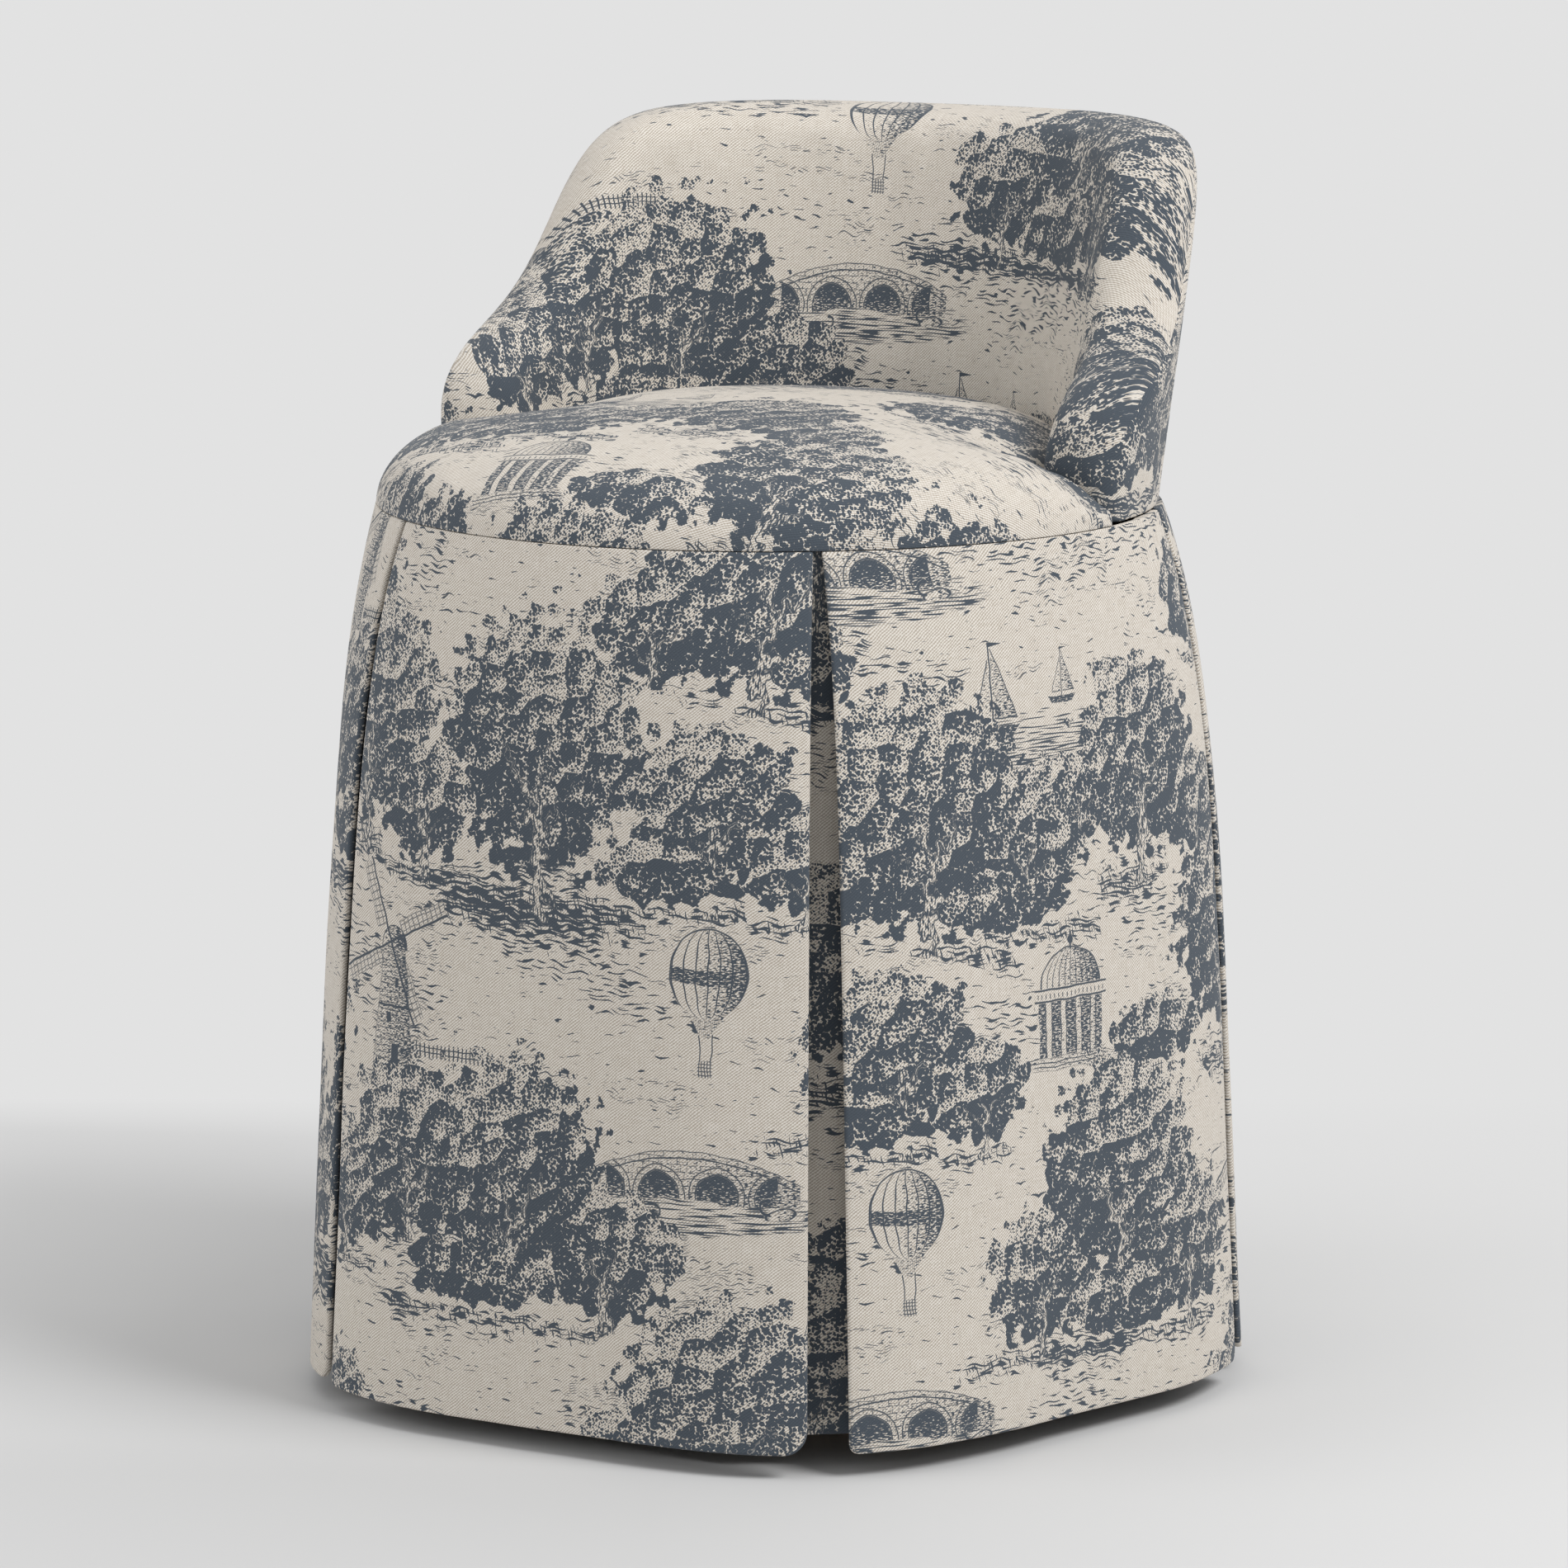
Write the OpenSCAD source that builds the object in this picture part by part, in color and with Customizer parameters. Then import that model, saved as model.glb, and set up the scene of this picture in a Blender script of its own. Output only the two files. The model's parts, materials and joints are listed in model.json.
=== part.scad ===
// Skirted vanity chair: a round sprung seat on four hidden legs, a low barrel back
// that runs down into short arms, and a floor-length skirt with five inverted pleats.
// Millimetres. +Z is up, the sitter looks along -Y, and the floor is z = 0.
// Angles on the skirt are counted from the front, those on the back from its middle.

/* [Seat] */
// Radius of the seat at the waist seam, where the skirt hangs
seat_r = 203; // [190:1:220]
// Height of the waist seam above the floor
waist_z = 455; // [430:1:480]
// Width of the rounded shoulder round the seat
shoulder_w = 40; // [30:1:50]
// Height of the rounded shoulder
shoulder_h = 30.5; // [24:0.5:38]
// Extra height of the crown at the middle of the seat
crown_h = 17; // [8:0.5:24]

/* [Back] */
// Height of the back's top edge above the floor
back_top_z = 646; // [620:1:700]
// Height of the arms' top above the floor
arm_top_z = 534; // [525:1:560]
// Thickness of the upholstered back
back_t = 46; // [43:1:54]
// How far the outer face lies inside the waist seam at its foot
back_setback = 2; // [1:0.5:3]
// How far the back leans out between the waist seam and its top edge
back_lean = 28.5; // [10:1:34]
// Angle from the middle of the back to the front of each arm
back_half_angle = 91.5; // [88:0.5:94]
// Angle at which the top edge has dropped halfway to the arms
drop_angle = 63.5; // [52:0.1:66]
// How gradually the top edge drops
drop_spread = 5; // [3.5:0.1:5.5]
// Angle where the arm begins to round down to its front
nose_angle = 70; // [66:0.5:76]
// Height of the rounded front of the arm
nose_drop = 53; // [36:1:56]
// Depth of the rolled top edge
roll_h = 16; // [12:1:17]
// Radius of the upright corners at the arm fronts
arm_front_r = 14; // [8:1:16]
// Angle where the seam on the outer face turns straight down to the waist
seam_angle = 62.5; // [58:0.5:80]

/* [Skirt] */
// Height of the hem above the floor
hem_z = 12; // [6:1:25]
// Number of inverted pleats, one of them at the rear
pleat_count = 5; // [4:1:6]
// How far the skirt springs out under the waist, at the middle of a panel
panel_lift = 12; // [6:1:18]
// The same at a pleat
pleat_lift = 24; // [14:1:30]
// Further flare down to the hem, at the middle of a panel
panel_flare = 14; // [8:1:22]
// The same at a pleat
pleat_flare = 23; // [16:1:34]
// Depth over which the skirt springs out
lift_depth = 66; // [50:1:90]
// Opening of a pleat at the waist
gap_waist = 4; // [2:0.5:7]
// Opening that a pleat gains just under the waist
gap_spring = 9; // [4:0.5:12]
// Further opening down to the hem
gap_flare = 8; // [2:0.5:12]
// Thickness of the lined panel
panel_t = 2.4; // [1.6:0.1:3]
// Thickness where the edge of the panel is folded back
fold_t = 4; // [3:0.1:4]
// Width of the fold behind the panel
fold_w = 38; // [25:1:50]
// Radius of the panel's corners at the hem
corner_r = 9; // [5:0.5:14]
// Half width of the underlay behind a pleat
underlay_half_w = 34; // [28:1:42]
// How much shorter the underlay hangs than the panels
underlay_short = 5; // [2:1:10]
// Extra depth of the underlay behind the panels at the hem
underlay_recess = 17; // [3:1:20]

/* [Frame] */
// Thickness of the seat rail, inside to outside
rail_t = 30; // [28:1:34]
// Height of the seat rail
rail_h = 60; // [50:1:75]
// Height of the seat rail's top above the floor
rail_top_z = 440; // [420:1:441]
// Side of the square leg where it meets the rail
leg_top_w = 38; // [32:1:46]
// Side of the leg at the floor
leg_foot_w = 26; // [22:1:32]
// Radius of the leg bolts
bolt_r = 4; // [3:0.5:5]
// Radius of the wooden dowels
dowel_r = 4; // [3:0.5:4]
// Length of a dowel
dowel_l = 40; // [30:1:44]
// Radius of a foot glide
glide_r = 11; // [8:0.5:12]
// Thickness of a foot glide
glide_h = 6; // [4:0.5:8]
// Depth of the uprights of the back, inside to outside
post_depth = 16; // [14:1:16]
// Width of the uprights, along the curve
post_w = 26; // [20:1:27]
// Height of the bent rim that carries the rolled edge
rim_h = 20; // [14:1:24]
// Thickness of the bent plywood shell
shell_t = 6; // [4:0.5:6]

/* [Covers and padding] */
// Thickness of the printed cloth
cloth_t = 1.4; // [1:0.1:1.6]
// Thickness of the wadding under the seat cover
wadding_t = 5; // [3:0.5:8]
// Thickness of the seat webbing
web_t = 1.5; // [1:0.1:1.8]
// Width of a webbing strap
web_w = 50; // [40:1:50]
// Thickness of the deck cloth, the back liner and the dust cover
liner_t = 0.8; // [0.6:0.1:1]

/* [Hidden] */
$fn = 96;

// Clearance between neighbours that touch on the real chair
gap = 0.3;
// Running over of a cut past the face that it opens
over = 1;
// Clearance round a dowel or bolt
hole_gap = 0.1;

print_cloth = [0.80, 0.77, 0.70];
beech = [0.76, 0.60, 0.42];
plywood = [0.72, 0.58, 0.40];
foam_white = [0.93, 0.91, 0.82];
jute = [0.62, 0.50, 0.34];
cambric = [0.16, 0.16, 0.17];
steel = [0.72, 0.73, 0.75];

// Levels of the seat, from the top of the rail to the foot of the foam
web_low_z = rail_top_z;
web_high_z = web_low_z + web_t;
deck_z = web_high_z + web_t;
pad_foot_z = deck_z + liner_t + gap;
seat_step_z = waist_z + cloth_t + gap;
hang_z = waist_z - gap;
cloth_foot_z = waist_z + gap;
tail_l = 23;
tail_z = waist_z - tail_l;
seat_top_z = waist_z + shoulder_h + crown_h + cloth_t + gap;

// Radial places round the waist, from the folded edges of the panels inwards
hang_gap = 0.4;
strip_t = 1.8;
underlay_t = 1.5;
underlay_r = seat_r - fold_t - hang_gap;
strip_r = underlay_r - underlay_t - gap;
tail_r = strip_r - strip_t - gap;
rail_r = tail_r - cloth_t - gap;
strip_h = 11.5;
rail_in_r = rail_r - rail_t;
deck_r = rail_r - post_depth - over;

// The seat's axis lies forward or back of the origin, so that the origin is the
// middle of the chair's outline on the floor.
edge_half_angle = 180 / pleat_count - pleat_gap(hem_z) / 2 / arc_deg(skirt_r(180, hem_z));
rear_edge_a = 180 / pleat_count - edge_half_angle;
front_reach = (pleat_count % 2 == 1) ? skirt_r(0, hem_z) : skirt_r(rear_edge_a, hem_z);
rear_reach = skirt_r(180 - rear_edge_a, hem_z) * cos(rear_edge_a);
seat_y = (front_reach - rear_reach) / 2;

// Length of one degree of arc at a radius
function arc_deg(r) = PI * r / 180;

// A point at angle a from the front, for the skirt and the legs
function front_pt(r, a, z) = [r * sin(a), -r * cos(a), z];
// A point at angle a from the middle of the back
function back_pt(r, a, z) = [r * sin(a), r * cos(a), z];

// Outer radius of the skirt at an angle from the front. It stands off further at the pleats.
function skirt_r(a, z) =
    let (d = waist_z - z)
    let (at_pleat = (1 + cos(pleat_count * (a - 180))) / 2)
    let (lift = panel_lift + (pleat_lift - panel_lift) * at_pleat)
    let (flare = panel_flare + (pleat_flare - panel_flare) * at_pleat)
    seat_r + lift * (1 - exp(-d / lift_depth)) + flare * d / (waist_z - hem_z);

// Opening of a pleat at a height
function pleat_gap(z) =
    let (d = waist_z - z)
    gap_waist + gap_spring * (1 - exp(-d / lift_depth)) + gap_flare * d / (waist_z - hem_z);

// Solid through a row of closed sections, each with the same number of points
module loft(rows) {
    n = len(rows);
    m = len(rows[0]);
    sides = [for (i = [0 : n - 2]) for (j = [0 : m - 1]) let (k = (j + 1) % m)
        each [[i * m + j, i * m + k, (i + 1) * m + k], [i * m + j, (i + 1) * m + k, (i + 1) * m + j]]];
    first = [for (j = [m - 1 : -1 : 0]) j];
    last = [for (j = [0 : m - 1]) (n - 1) * m + j];
    polyhedron(points = [for (row = rows) each row], faces = concat([first], sides, [last]), convexity = 8);
}

// Skirt

// A panel is drawn as gores side by side, so that each is nearly flat
gore_count = 4;
gore_steps = 3;
gore_gap = 0.05;
gore_a_share = 0.48;
gore_a = gore_a_share * 180 / pleat_count;
edge_round_share = 0.35;

// Thickness of a panel at an arc distance from its edge: doubled over the folded-back edge
function panel_thick(from_edge) =
    fold_t - (fold_t - panel_t) * min(1, max(0, (from_edge - fold_w) / (fold_w / 4)));

// Angle where gore g ends and the next begins; the first and the last end at the panel's edges
function gore_end(g, inner_half) =
    g == 0 ? -inner_half : g == gore_count ? inner_half : gore_a * (2 * (g - 1) / (gore_count - 2) - 1);

// One level of a gore, seen from above: outer face, then inner face, with the panel's
// folded edge at the ends of the first and the last gore
function gore_row(z, g) =
    let (r_edge = skirt_r(180 / pleat_count, z))
    let (corner = max(0, corner_r - (z - hem_z)))
    let (pull = corner_r - sqrt(corner_r * corner_r - corner * corner))
    let (half = 180 / pleat_count - (pleat_gap(z) / 2 + pull) / arc_deg(r_edge))
    let (inner_half = half - edge_round_share * fold_t / arc_deg(r_edge))
    let (apart = gore_gap / 2 / arc_deg(seat_r))
    let (a0 = gore_end(g, inner_half) + (g > 0 ? apart : 0))
    let (a1 = gore_end(g + 1, inner_half) - (g < gore_count - 1 ? apart : 0))
    let (angles = [for (i = [0 : gore_steps]) a0 + (a1 - a0) * i / gore_steps])
    concat([for (a = angles) front_pt(skirt_r(a, z), a, z)],
           g == gore_count - 1 ? [front_pt(skirt_r(half, z) - fold_t / 2, half, z)] : [],
           [for (i = [gore_steps : -1 : 0]) let (a = angles[i])
               front_pt(skirt_r(a, z) - panel_thick((half - abs(a)) * arc_deg(r_edge)), a, z)],
           g == 0 ? [front_pt(skirt_r(half, z) - fold_t / 2, -half, z)] : []);

corner_level_shares = [0, 0.1, 0.4, 1];
hang_level_shares = [0.12, 0.3, 0.5, 0.68, 0.82, 0.92, 1];
panel_levels = concat([for (s = corner_level_shares) hem_z + s * corner_r],
                      [for (s = hang_level_shares) hem_z + s * (hang_z - hem_z)]);

module skirt_panel(k) {
    color(print_cloth)
        seat_placed()
            rotate([0, 0, k * 360 / pleat_count])
                for (g = [0 : gore_count - 1])
                    loft([for (z = panel_levels) gore_row(z, g)]);
}

underlay_steps = 4;
underlay_hem_z = hem_z + underlay_short;
underlay_level_shares = [0, 0.3, 0.6, 0.76, 0.88, 0.95, 1];

// Outer radius of the underlay: close behind the folds at the waist, deeper at the hem
function underlay_face_r(a, z) =
    skirt_r(a, z) - (seat_r - underlay_r) - underlay_recess * (1 - exp(-(waist_z - z) / lift_depth));

function underlay_row(z) =
    let (half = underlay_half_w / arc_deg(seat_r))
    let (angles = [for (i = [0 : underlay_steps]) 180 / pleat_count - half + 2 * half * i / underlay_steps])
    concat([for (a = angles) front_pt(underlay_face_r(a, z), a, z)],
           [for (i = [underlay_steps : -1 : 0])
               front_pt(underlay_face_r(angles[i], z) - underlay_t, angles[i], z)]);

module pleat_underlay(k) {
    color(print_cloth)
        seat_placed()
            rotate([0, 0, k * 360 / pleat_count])
                loft([for (s = underlay_level_shares)
                    underlay_row(underlay_hem_z + s * (hang_z - underlay_hem_z))]);
}

module waist_tack_strip() {
    color(jute)
        seat_placed()
            translate([0, 0, hang_z - strip_h])
                difference() {
                    cylinder(r = strip_r, h = strip_h);
                    translate([0, 0, -over])
                        cylinder(r = strip_r - strip_t, h = strip_h + 2 * over);
                }
}

// Seat

shoulder_steps = 8;
crown_steps = 5;

// The seat's own back edge is tucked down inside the inner face of the back.
tuck_r = seat_r - back_setback - back_t - gap;
front_half_angle = 180 - back_half_angle - gap / arc_deg(seat_r);

// A point of the crowned top, set in by an inset
function crown_pt(r, inset) = [r, seat_top_z - inset - crown_h * pow(r / seat_r, 2)];

// The crowned top from an edge to the middle, with a point at the inside of a wall under it.
// Its innermost step is level.
function crown_pts(edge_r, wall, inset) =
    let (points = [for (i = [0 : crown_steps - 1]) crown_pt((edge_r - wall) * (1 - i / crown_steps), inset)])
    concat([crown_pt(edge_r, inset)], points, [[0, points[crown_steps - 1][1]]]);

// The rounded shoulder from the waist to the crowned top, set in by an inset
function shoulder_pts(inset) =
    [for (i = [0 : shoulder_steps])
        let (t = 90 * i / shoulder_steps)
        let (p = crown_pt(seat_r - shoulder_w + (shoulder_w - inset) * cos(t), 0))
        [p[0], p[1] - shoulder_h + (shoulder_h - inset) * sin(t)]];

// All that lies behind the fronts of the arms
module behind(half) {
    reach = 2 * seat_r;
    linear_extrude(seat_top_z + over)
        polygon([[0, 0], [reach * sin(half), -reach * cos(half)], [reach, reach], [-reach, reach],
                 [-reach * sin(half), -reach * cos(half)]]);
}

// A closed section of the seat, revolved, but only in front of the arms
module front_band(half, section) {
    difference() {
        rotate_extrude()
            polygon(section);
        behind(half);
    }
}

// A layer of the seat: over the top, round the shoulder in front, and down inside the back
module seat_layer(outer, thick, rear_foot_z, front_foot) {
    inner = outer + thick;
    edge_r = tuck_r - outer;
    half = front_half_angle - outer / arc_deg(seat_r);
    rotate_extrude()
        polygon(concat(crown_pts(edge_r, thick, outer), reverse(crown_pts(edge_r, thick, inner))));
    front_band(half, concat([crown_pt(edge_r, inner), crown_pt(edge_r, outer)], reverse(shoulder_pts(outer)),
                            front_foot, shoulder_pts(inner)));
    intersection() {
        rotate_extrude()
            polygon([[edge_r - thick, rear_foot_z], [edge_r, rear_foot_z], crown_pt(edge_r, inner),
                     crown_pt(edge_r - thick, inner)]);
        behind(half);
    }
}

// Foam block: down inside the rail, with a shoulder that overhangs it in front
module seat_foam() {
    inset = cloth_t + wadding_t + 2 * gap;
    edge_r = tuck_r - inset;
    color(foam_white)
        seat_placed() {
            rotate_extrude()
                polygon(concat([[0, pad_foot_z], [edge_r, pad_foot_z]], crown_pts(edge_r, wadding_t, inset)));
            front_band(front_half_angle - inset / arc_deg(seat_r),
                       concat([crown_pt(edge_r, inset)], reverse(shoulder_pts(inset)),
                              [[rail_r - gap, seat_step_z], [rail_r - gap, pad_foot_z], [edge_r, pad_foot_z]]));
        }
}

module seat_wadding() {
    color("white")
        seat_placed()
            seat_layer(cloth_t + gap, wadding_t, seat_step_z, []);
}

// Printed cover, turned in under the shoulder, with its tail tacked down the rail
module seat_cover() {
    color(print_cloth)
        seat_placed()
            seat_layer(0, cloth_t, pad_foot_z,
                       [[seat_r, waist_z], [tail_r, waist_z], [tail_r, tail_z], [tail_r - cloth_t, tail_z],
                        [tail_r - cloth_t, waist_z + cloth_t], [seat_r - cloth_t, waist_z + cloth_t]]);
}

strap_shift_share = 0.4663;
cross_strap_shares = [0.3886, -0.1917, -0.5959];
strap_end_r = rail_r - dowel_r;

// A strap stretched over the top of the rail, along X
module strap(y, z) {
    intersection() {
        translate([-rail_r, y - web_w / 2, z])
            cube([2 * rail_r, web_w, web_t]);
        translate([0, 0, z])
            cylinder(r = strap_end_r, h = web_t);
    }
}

module webbing_lengthwise() {
    color(jute)
        seat_placed()
            for (side = [-1, 0, 1])
                rotate([0, 0, 90])
                    strap(side * strap_shift_share * rail_r, web_low_z);
}

module webbing_crosswise() {
    color(jute)
        seat_placed()
            for (s = cross_strap_shares)
                strap(s * rail_r, web_high_z);
}

module deck_cloth() {
    color(jute)
        seat_placed()
            translate([0, 0, deck_z])
                cylinder(r = deck_r, h = liner_t);
}

// Frame of the seat

leg_angles = [45, 135, 225, 315];
rail_foot_z = rail_top_z - rail_h;
leg_out_r = sqrt(pow(rail_in_r, 2) - pow(leg_top_w / 2, 2)) - gap;
leg_mid_r = leg_out_r - leg_top_w / 2;
bolt_level_shares = [0.23, 0.63];
bolt_head_r = 2 * bolt_r;
bolt_head_h = 3;
bolt_dome_share = 0.6;
nut_t = 6;
bolt_l = rail_r - (leg_out_r - leg_top_w) + nut_t + bolt_r;
glide_pin_r = 1.5;
glide_pin_l = 12;
joint_level_shares = [0.2, 0.5];
joint_dowel_r = rail_r - rail_t / 2;

// Children lie along +Y, towards the middle, at each bolt of the leg at an angle from the front
module at_bolts(a) {
    for (s = bolt_level_shares)
        rotate([0, 0, a])
            translate([0, -rail_r, rail_foot_z + s * rail_h])
                rotate([-90, 0, 0])
                    children();
}

module leg(a) {
    color(beech)
        seat_placed()
            difference() {
                rotate([0, 0, a])
                    translate([0, -leg_mid_r, 0]) {
                        translate([-leg_top_w / 2, -leg_top_w / 2, rail_foot_z])
                            cube([leg_top_w, leg_top_w, rail_h]);
                        hull() {
                            translate([-leg_top_w / 2, -leg_top_w / 2, rail_foot_z])
                                cube([leg_top_w, leg_top_w, over]);
                            translate([-leg_foot_w / 2, -leg_top_w / 2, glide_h])
                                cube([leg_foot_w, leg_foot_w, over]);
                        }
                    }
                at_bolts(a)
                    cylinder(r = bolt_r + hole_gap, h = rail_r);
                glide_placed(a)
                    cylinder(r = glide_pin_r + hole_gap, h = glide_h + glide_pin_l + over);
            }
}

// Middle of a leg's foot, on the floor
module glide_placed(a) {
    rotate([0, 0, a])
        translate([0, -leg_mid_r - (leg_top_w - leg_foot_w) / 2, 0])
            children();
}

module leg_glides() {
    color([0.12, 0.12, 0.12])
        seat_placed()
            for (a = leg_angles)
                glide_placed(a) {
                    cylinder(r = glide_r, h = glide_h);
                    cylinder(r = glide_pin_r, h = glide_h + glide_pin_l);
                }
}

module leg_bolts() {
    color(steel)
        seat_placed()
            for (a = leg_angles)
                at_bolts(a) {
                    cylinder(r = bolt_r, h = bolt_l);
                    translate([0, 0, -bolt_head_h])
                        cylinder(r1 = bolt_dome_share * bolt_head_r, r2 = bolt_head_r, h = bolt_head_h);
                }
}

module leg_nuts() {
    color(steel)
        seat_placed()
            for (a = leg_angles)
                at_bolts(a)
                    translate([0, 0, rail_r - (leg_out_r - leg_top_w)])
                        difference() {
                            cylinder(r = 2 * bolt_r, h = nut_t, $fn = 6);
                            translate([0, 0, -over])
                                cylinder(r = bolt_r + hole_gap, h = nut_t + 2 * over);
                        }
}

// Children lie along the joint between two rails, at each dowel
module at_joints(a) {
    for (s = joint_level_shares)
        rotate([0, 0, a])
            translate([-dowel_l / 2, -joint_dowel_r, rail_foot_z + s * rail_h])
                rotate([0, 90, 0])
                    children();
}

// A quarter of the round rail, from an angle counted from the front
module seat_rail(a) {
    color(beech)
        seat_placed()
            difference() {
                rotate([0, 0, a - 90])
                    rotate_extrude(angle = 90)
                        translate([rail_in_r, rail_foot_z])
                            square([rail_t, rail_h]);
                for (b = [a, a + 90])
                    at_joints(b)
                        translate([0, 0, -over])
                            cylinder(r = dowel_r + hole_gap, h = dowel_l + 2 * over);
                at_bolts(a + 45)
                    translate([0, 0, -over])
                        cylinder(r = bolt_r + hole_gap, h = rail_r);
                at_posts()
                    translate([0, 0, rail_top_z - post_dowel_l / 2 - over])
                        cylinder(r = dowel_r + hole_gap, h = post_dowel_l);
            }
}

module rail_dowels() {
    color(beech)
        seat_placed()
            for (a = [0, 90, 180, 270])
                at_joints(a)
                    cylinder(r = dowel_r, h = dowel_l);
}

module dust_cover() {
    color(cambric)
        seat_placed()
            difference() {
                translate([0, 0, rail_foot_z - gap - liner_t])
                    cylinder(r = rail_r - bolt_head_h, h = liner_t);
                for (a = leg_angles)
                    rotate([0, 0, a])
                        translate([-leg_top_w / 2 - over, -leg_mid_r - leg_top_w / 2 - over, 0])
                            cube([leg_top_w + 2 * over, leg_top_w + 2 * over, rail_top_z]);
            }
}

// Back

// Angles of the uprights: between the straps of the seat
inner_post_a = 14.5;
outer_post_a = 45;
arm_pad_t = 17;
arm_post_inset = 2.84;
frame_end_a = back_half_angle - arm_pad_t / arc_deg(seat_r);
post_half_angle = post_w / 2 / arc_deg(rail_r);
arm_post_a = frame_end_a - post_half_angle - arm_post_inset / arc_deg(rail_r);
post_angles = [-arm_post_a, -outer_post_a, -inner_post_a, inner_post_a, outer_post_a, arm_post_a];
post_dowel_l = 30;
frame_depth = shell_t + cloth_t + 2 * gap;
rim_inset = roll_h + over;
seam_inset = roll_h + fold_t;
shell_base_r = seat_r - back_setback;
wall_level_shares = [0, 0.2, 0.45, 0.72, 1];
lean_power = 1.4;

// Sections of the back: wide steps behind the sitter, narrow ones down the drop and the arms
wide_steps = 5;
narrow_steps = 12;
front_steps = 3;
wide_share = 0.66;
wide_end_a = drop_angle * wide_share;
end_start_a = back_half_angle - arm_front_r / arc_deg(seat_r);
half_angles = concat([for (i = [0 : wide_steps - 1]) wide_end_a * i / wide_steps],
                     [for (i = [0 : narrow_steps - 1])
                         wide_end_a + (end_start_a - wide_end_a) * i / narrow_steps]);
end_angles = [for (i = [0 : front_steps]) end_start_a + (back_half_angle - end_start_a) * sin(90 * i / front_steps)];
frame_angles = both_sides([for (a = half_angles) if (a < frame_end_a) a], frame_end_a);

// The same angles to both sides of the middle, ending at a last angle
function both_sides(half, last) =
    let (h = concat(half, [last]))
    concat([for (i = [len(h) - 1 : -1 : 1]) -h[i]], h);

// Height of the top edge: flat behind the sitter, down in one curve to the arms and
// round at their fronts
function top_edge(a) =
    let (b = abs(a))
    let (n = min(1, max(0, (b - nose_angle) / (back_half_angle - nose_angle))))
    let (arm = arm_top_z - nose_drop * (1 - sqrt(1 - n * n)))
    arm + (back_top_z - arm_top_z) / (1 + exp((b - drop_angle) / drop_spread));

slope_step = 0.5;
slope_limit = 2.2;

// Height at a distance inside the top edge, measured square to it
function edge_z(a, inset) =
    let (b = min(abs(a), back_half_angle - slope_step))
    let (run = 2 * slope_step * arc_deg(shell_base_r))
    let (rise = (top_edge(b + slope_step) - top_edge(b - slope_step)) / run)
    let (steep = min(slope_limit, abs(rise)))
    top_edge(a) - inset * sqrt(1 + steep * steep);

// Outer radius of the back at a height: it leans out, more towards the top
function wall_r(z) =
    shell_base_r + back_lean * pow(max(0, z - waist_z) / (back_top_z - waist_z), lean_power);

// How much the upright corner at the front of an arm draws in each face
function end_draw(a) =
    let (s = min(1, max(0, (abs(a) - end_start_a) / (back_half_angle - end_start_a))))
    arm_front_r * (1 - sqrt(1 - s * s));

// A point of a section at angle a: a depth inside the outer face, at a height
function wall_pt(a, depth, z) = back_pt(wall_r(z) - depth, a, z);

// Points up a face between two heights at a depth
function wall_pts(a, depth, z0, z1) =
    [for (s = wall_level_shares) wall_pt(a, depth, z0 + s * (z1 - z0))];

roll_steps = 6;
roll_power = 2.6;

// The rolled top edge from the inner to the outer face, set in by an inset
function roll_pts(a, inset) =
    let (draw = end_draw(a))
    let (half = back_t / 2 - inset - draw)
    [for (i = [1 : roll_steps - 1])
        let (t = 180 * i / roll_steps)
        let (c = cos(t))
        let (across = sign(c) * pow(abs(c), 2 / roll_power))
        let (up = pow(sin(t), 2 / roll_power))
        wall_pt(a, back_t / 2 + half * across, edge_z(a, inset + (roll_h - inset) * (1 - up)))];

// Path over the padding: up the inner face, over the roll and down the outer face
function pad_path(a, inset, foot_z, out_z) =
    let (draw = end_draw(a))
    let (z_roll = max(foot_z + over, edge_z(a, roll_h)))
    concat(wall_pts(a, back_t - inset - draw, foot_z, z_roll),
           roll_pts(a, inset),
           [wall_pt(a, inset + draw, max(out_z + over, edge_z(a, roll_h))), wall_pt(a, inset + draw, out_z)]);

// A section's points, turned to another angle of the back
function turned(row, a) = [for (p = row) back_pt(norm([p[0], p[1]]), a, p[2])];

// Height of the seam on the outer face: it follows the top edge, then drops to the waist
function seam_z(a) = abs(a) > seam_angle ? cloth_foot_z : max(cloth_foot_z, edge_z(a, seam_inset));

// Path of the cover: over the padding, then down the outer face in steps that follow its lean
seam_step = 0.1;
outer_level_shares = [1, 0.5, 0];
function cover_path(a, inset) =
    let (path = pad_path(a, inset, pad_foot_z, seam_z(a)))
    let (z0 = seam_z(a))
    let (z1 = max(z0 + over, edge_z(a, roll_h)))
    concat([for (i = [0 : len(path) - 3]) path[i]],
           [for (s = outer_level_shares) wall_pt(a, inset + end_draw(a), z0 + s * (z1 - z0))]);

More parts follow.
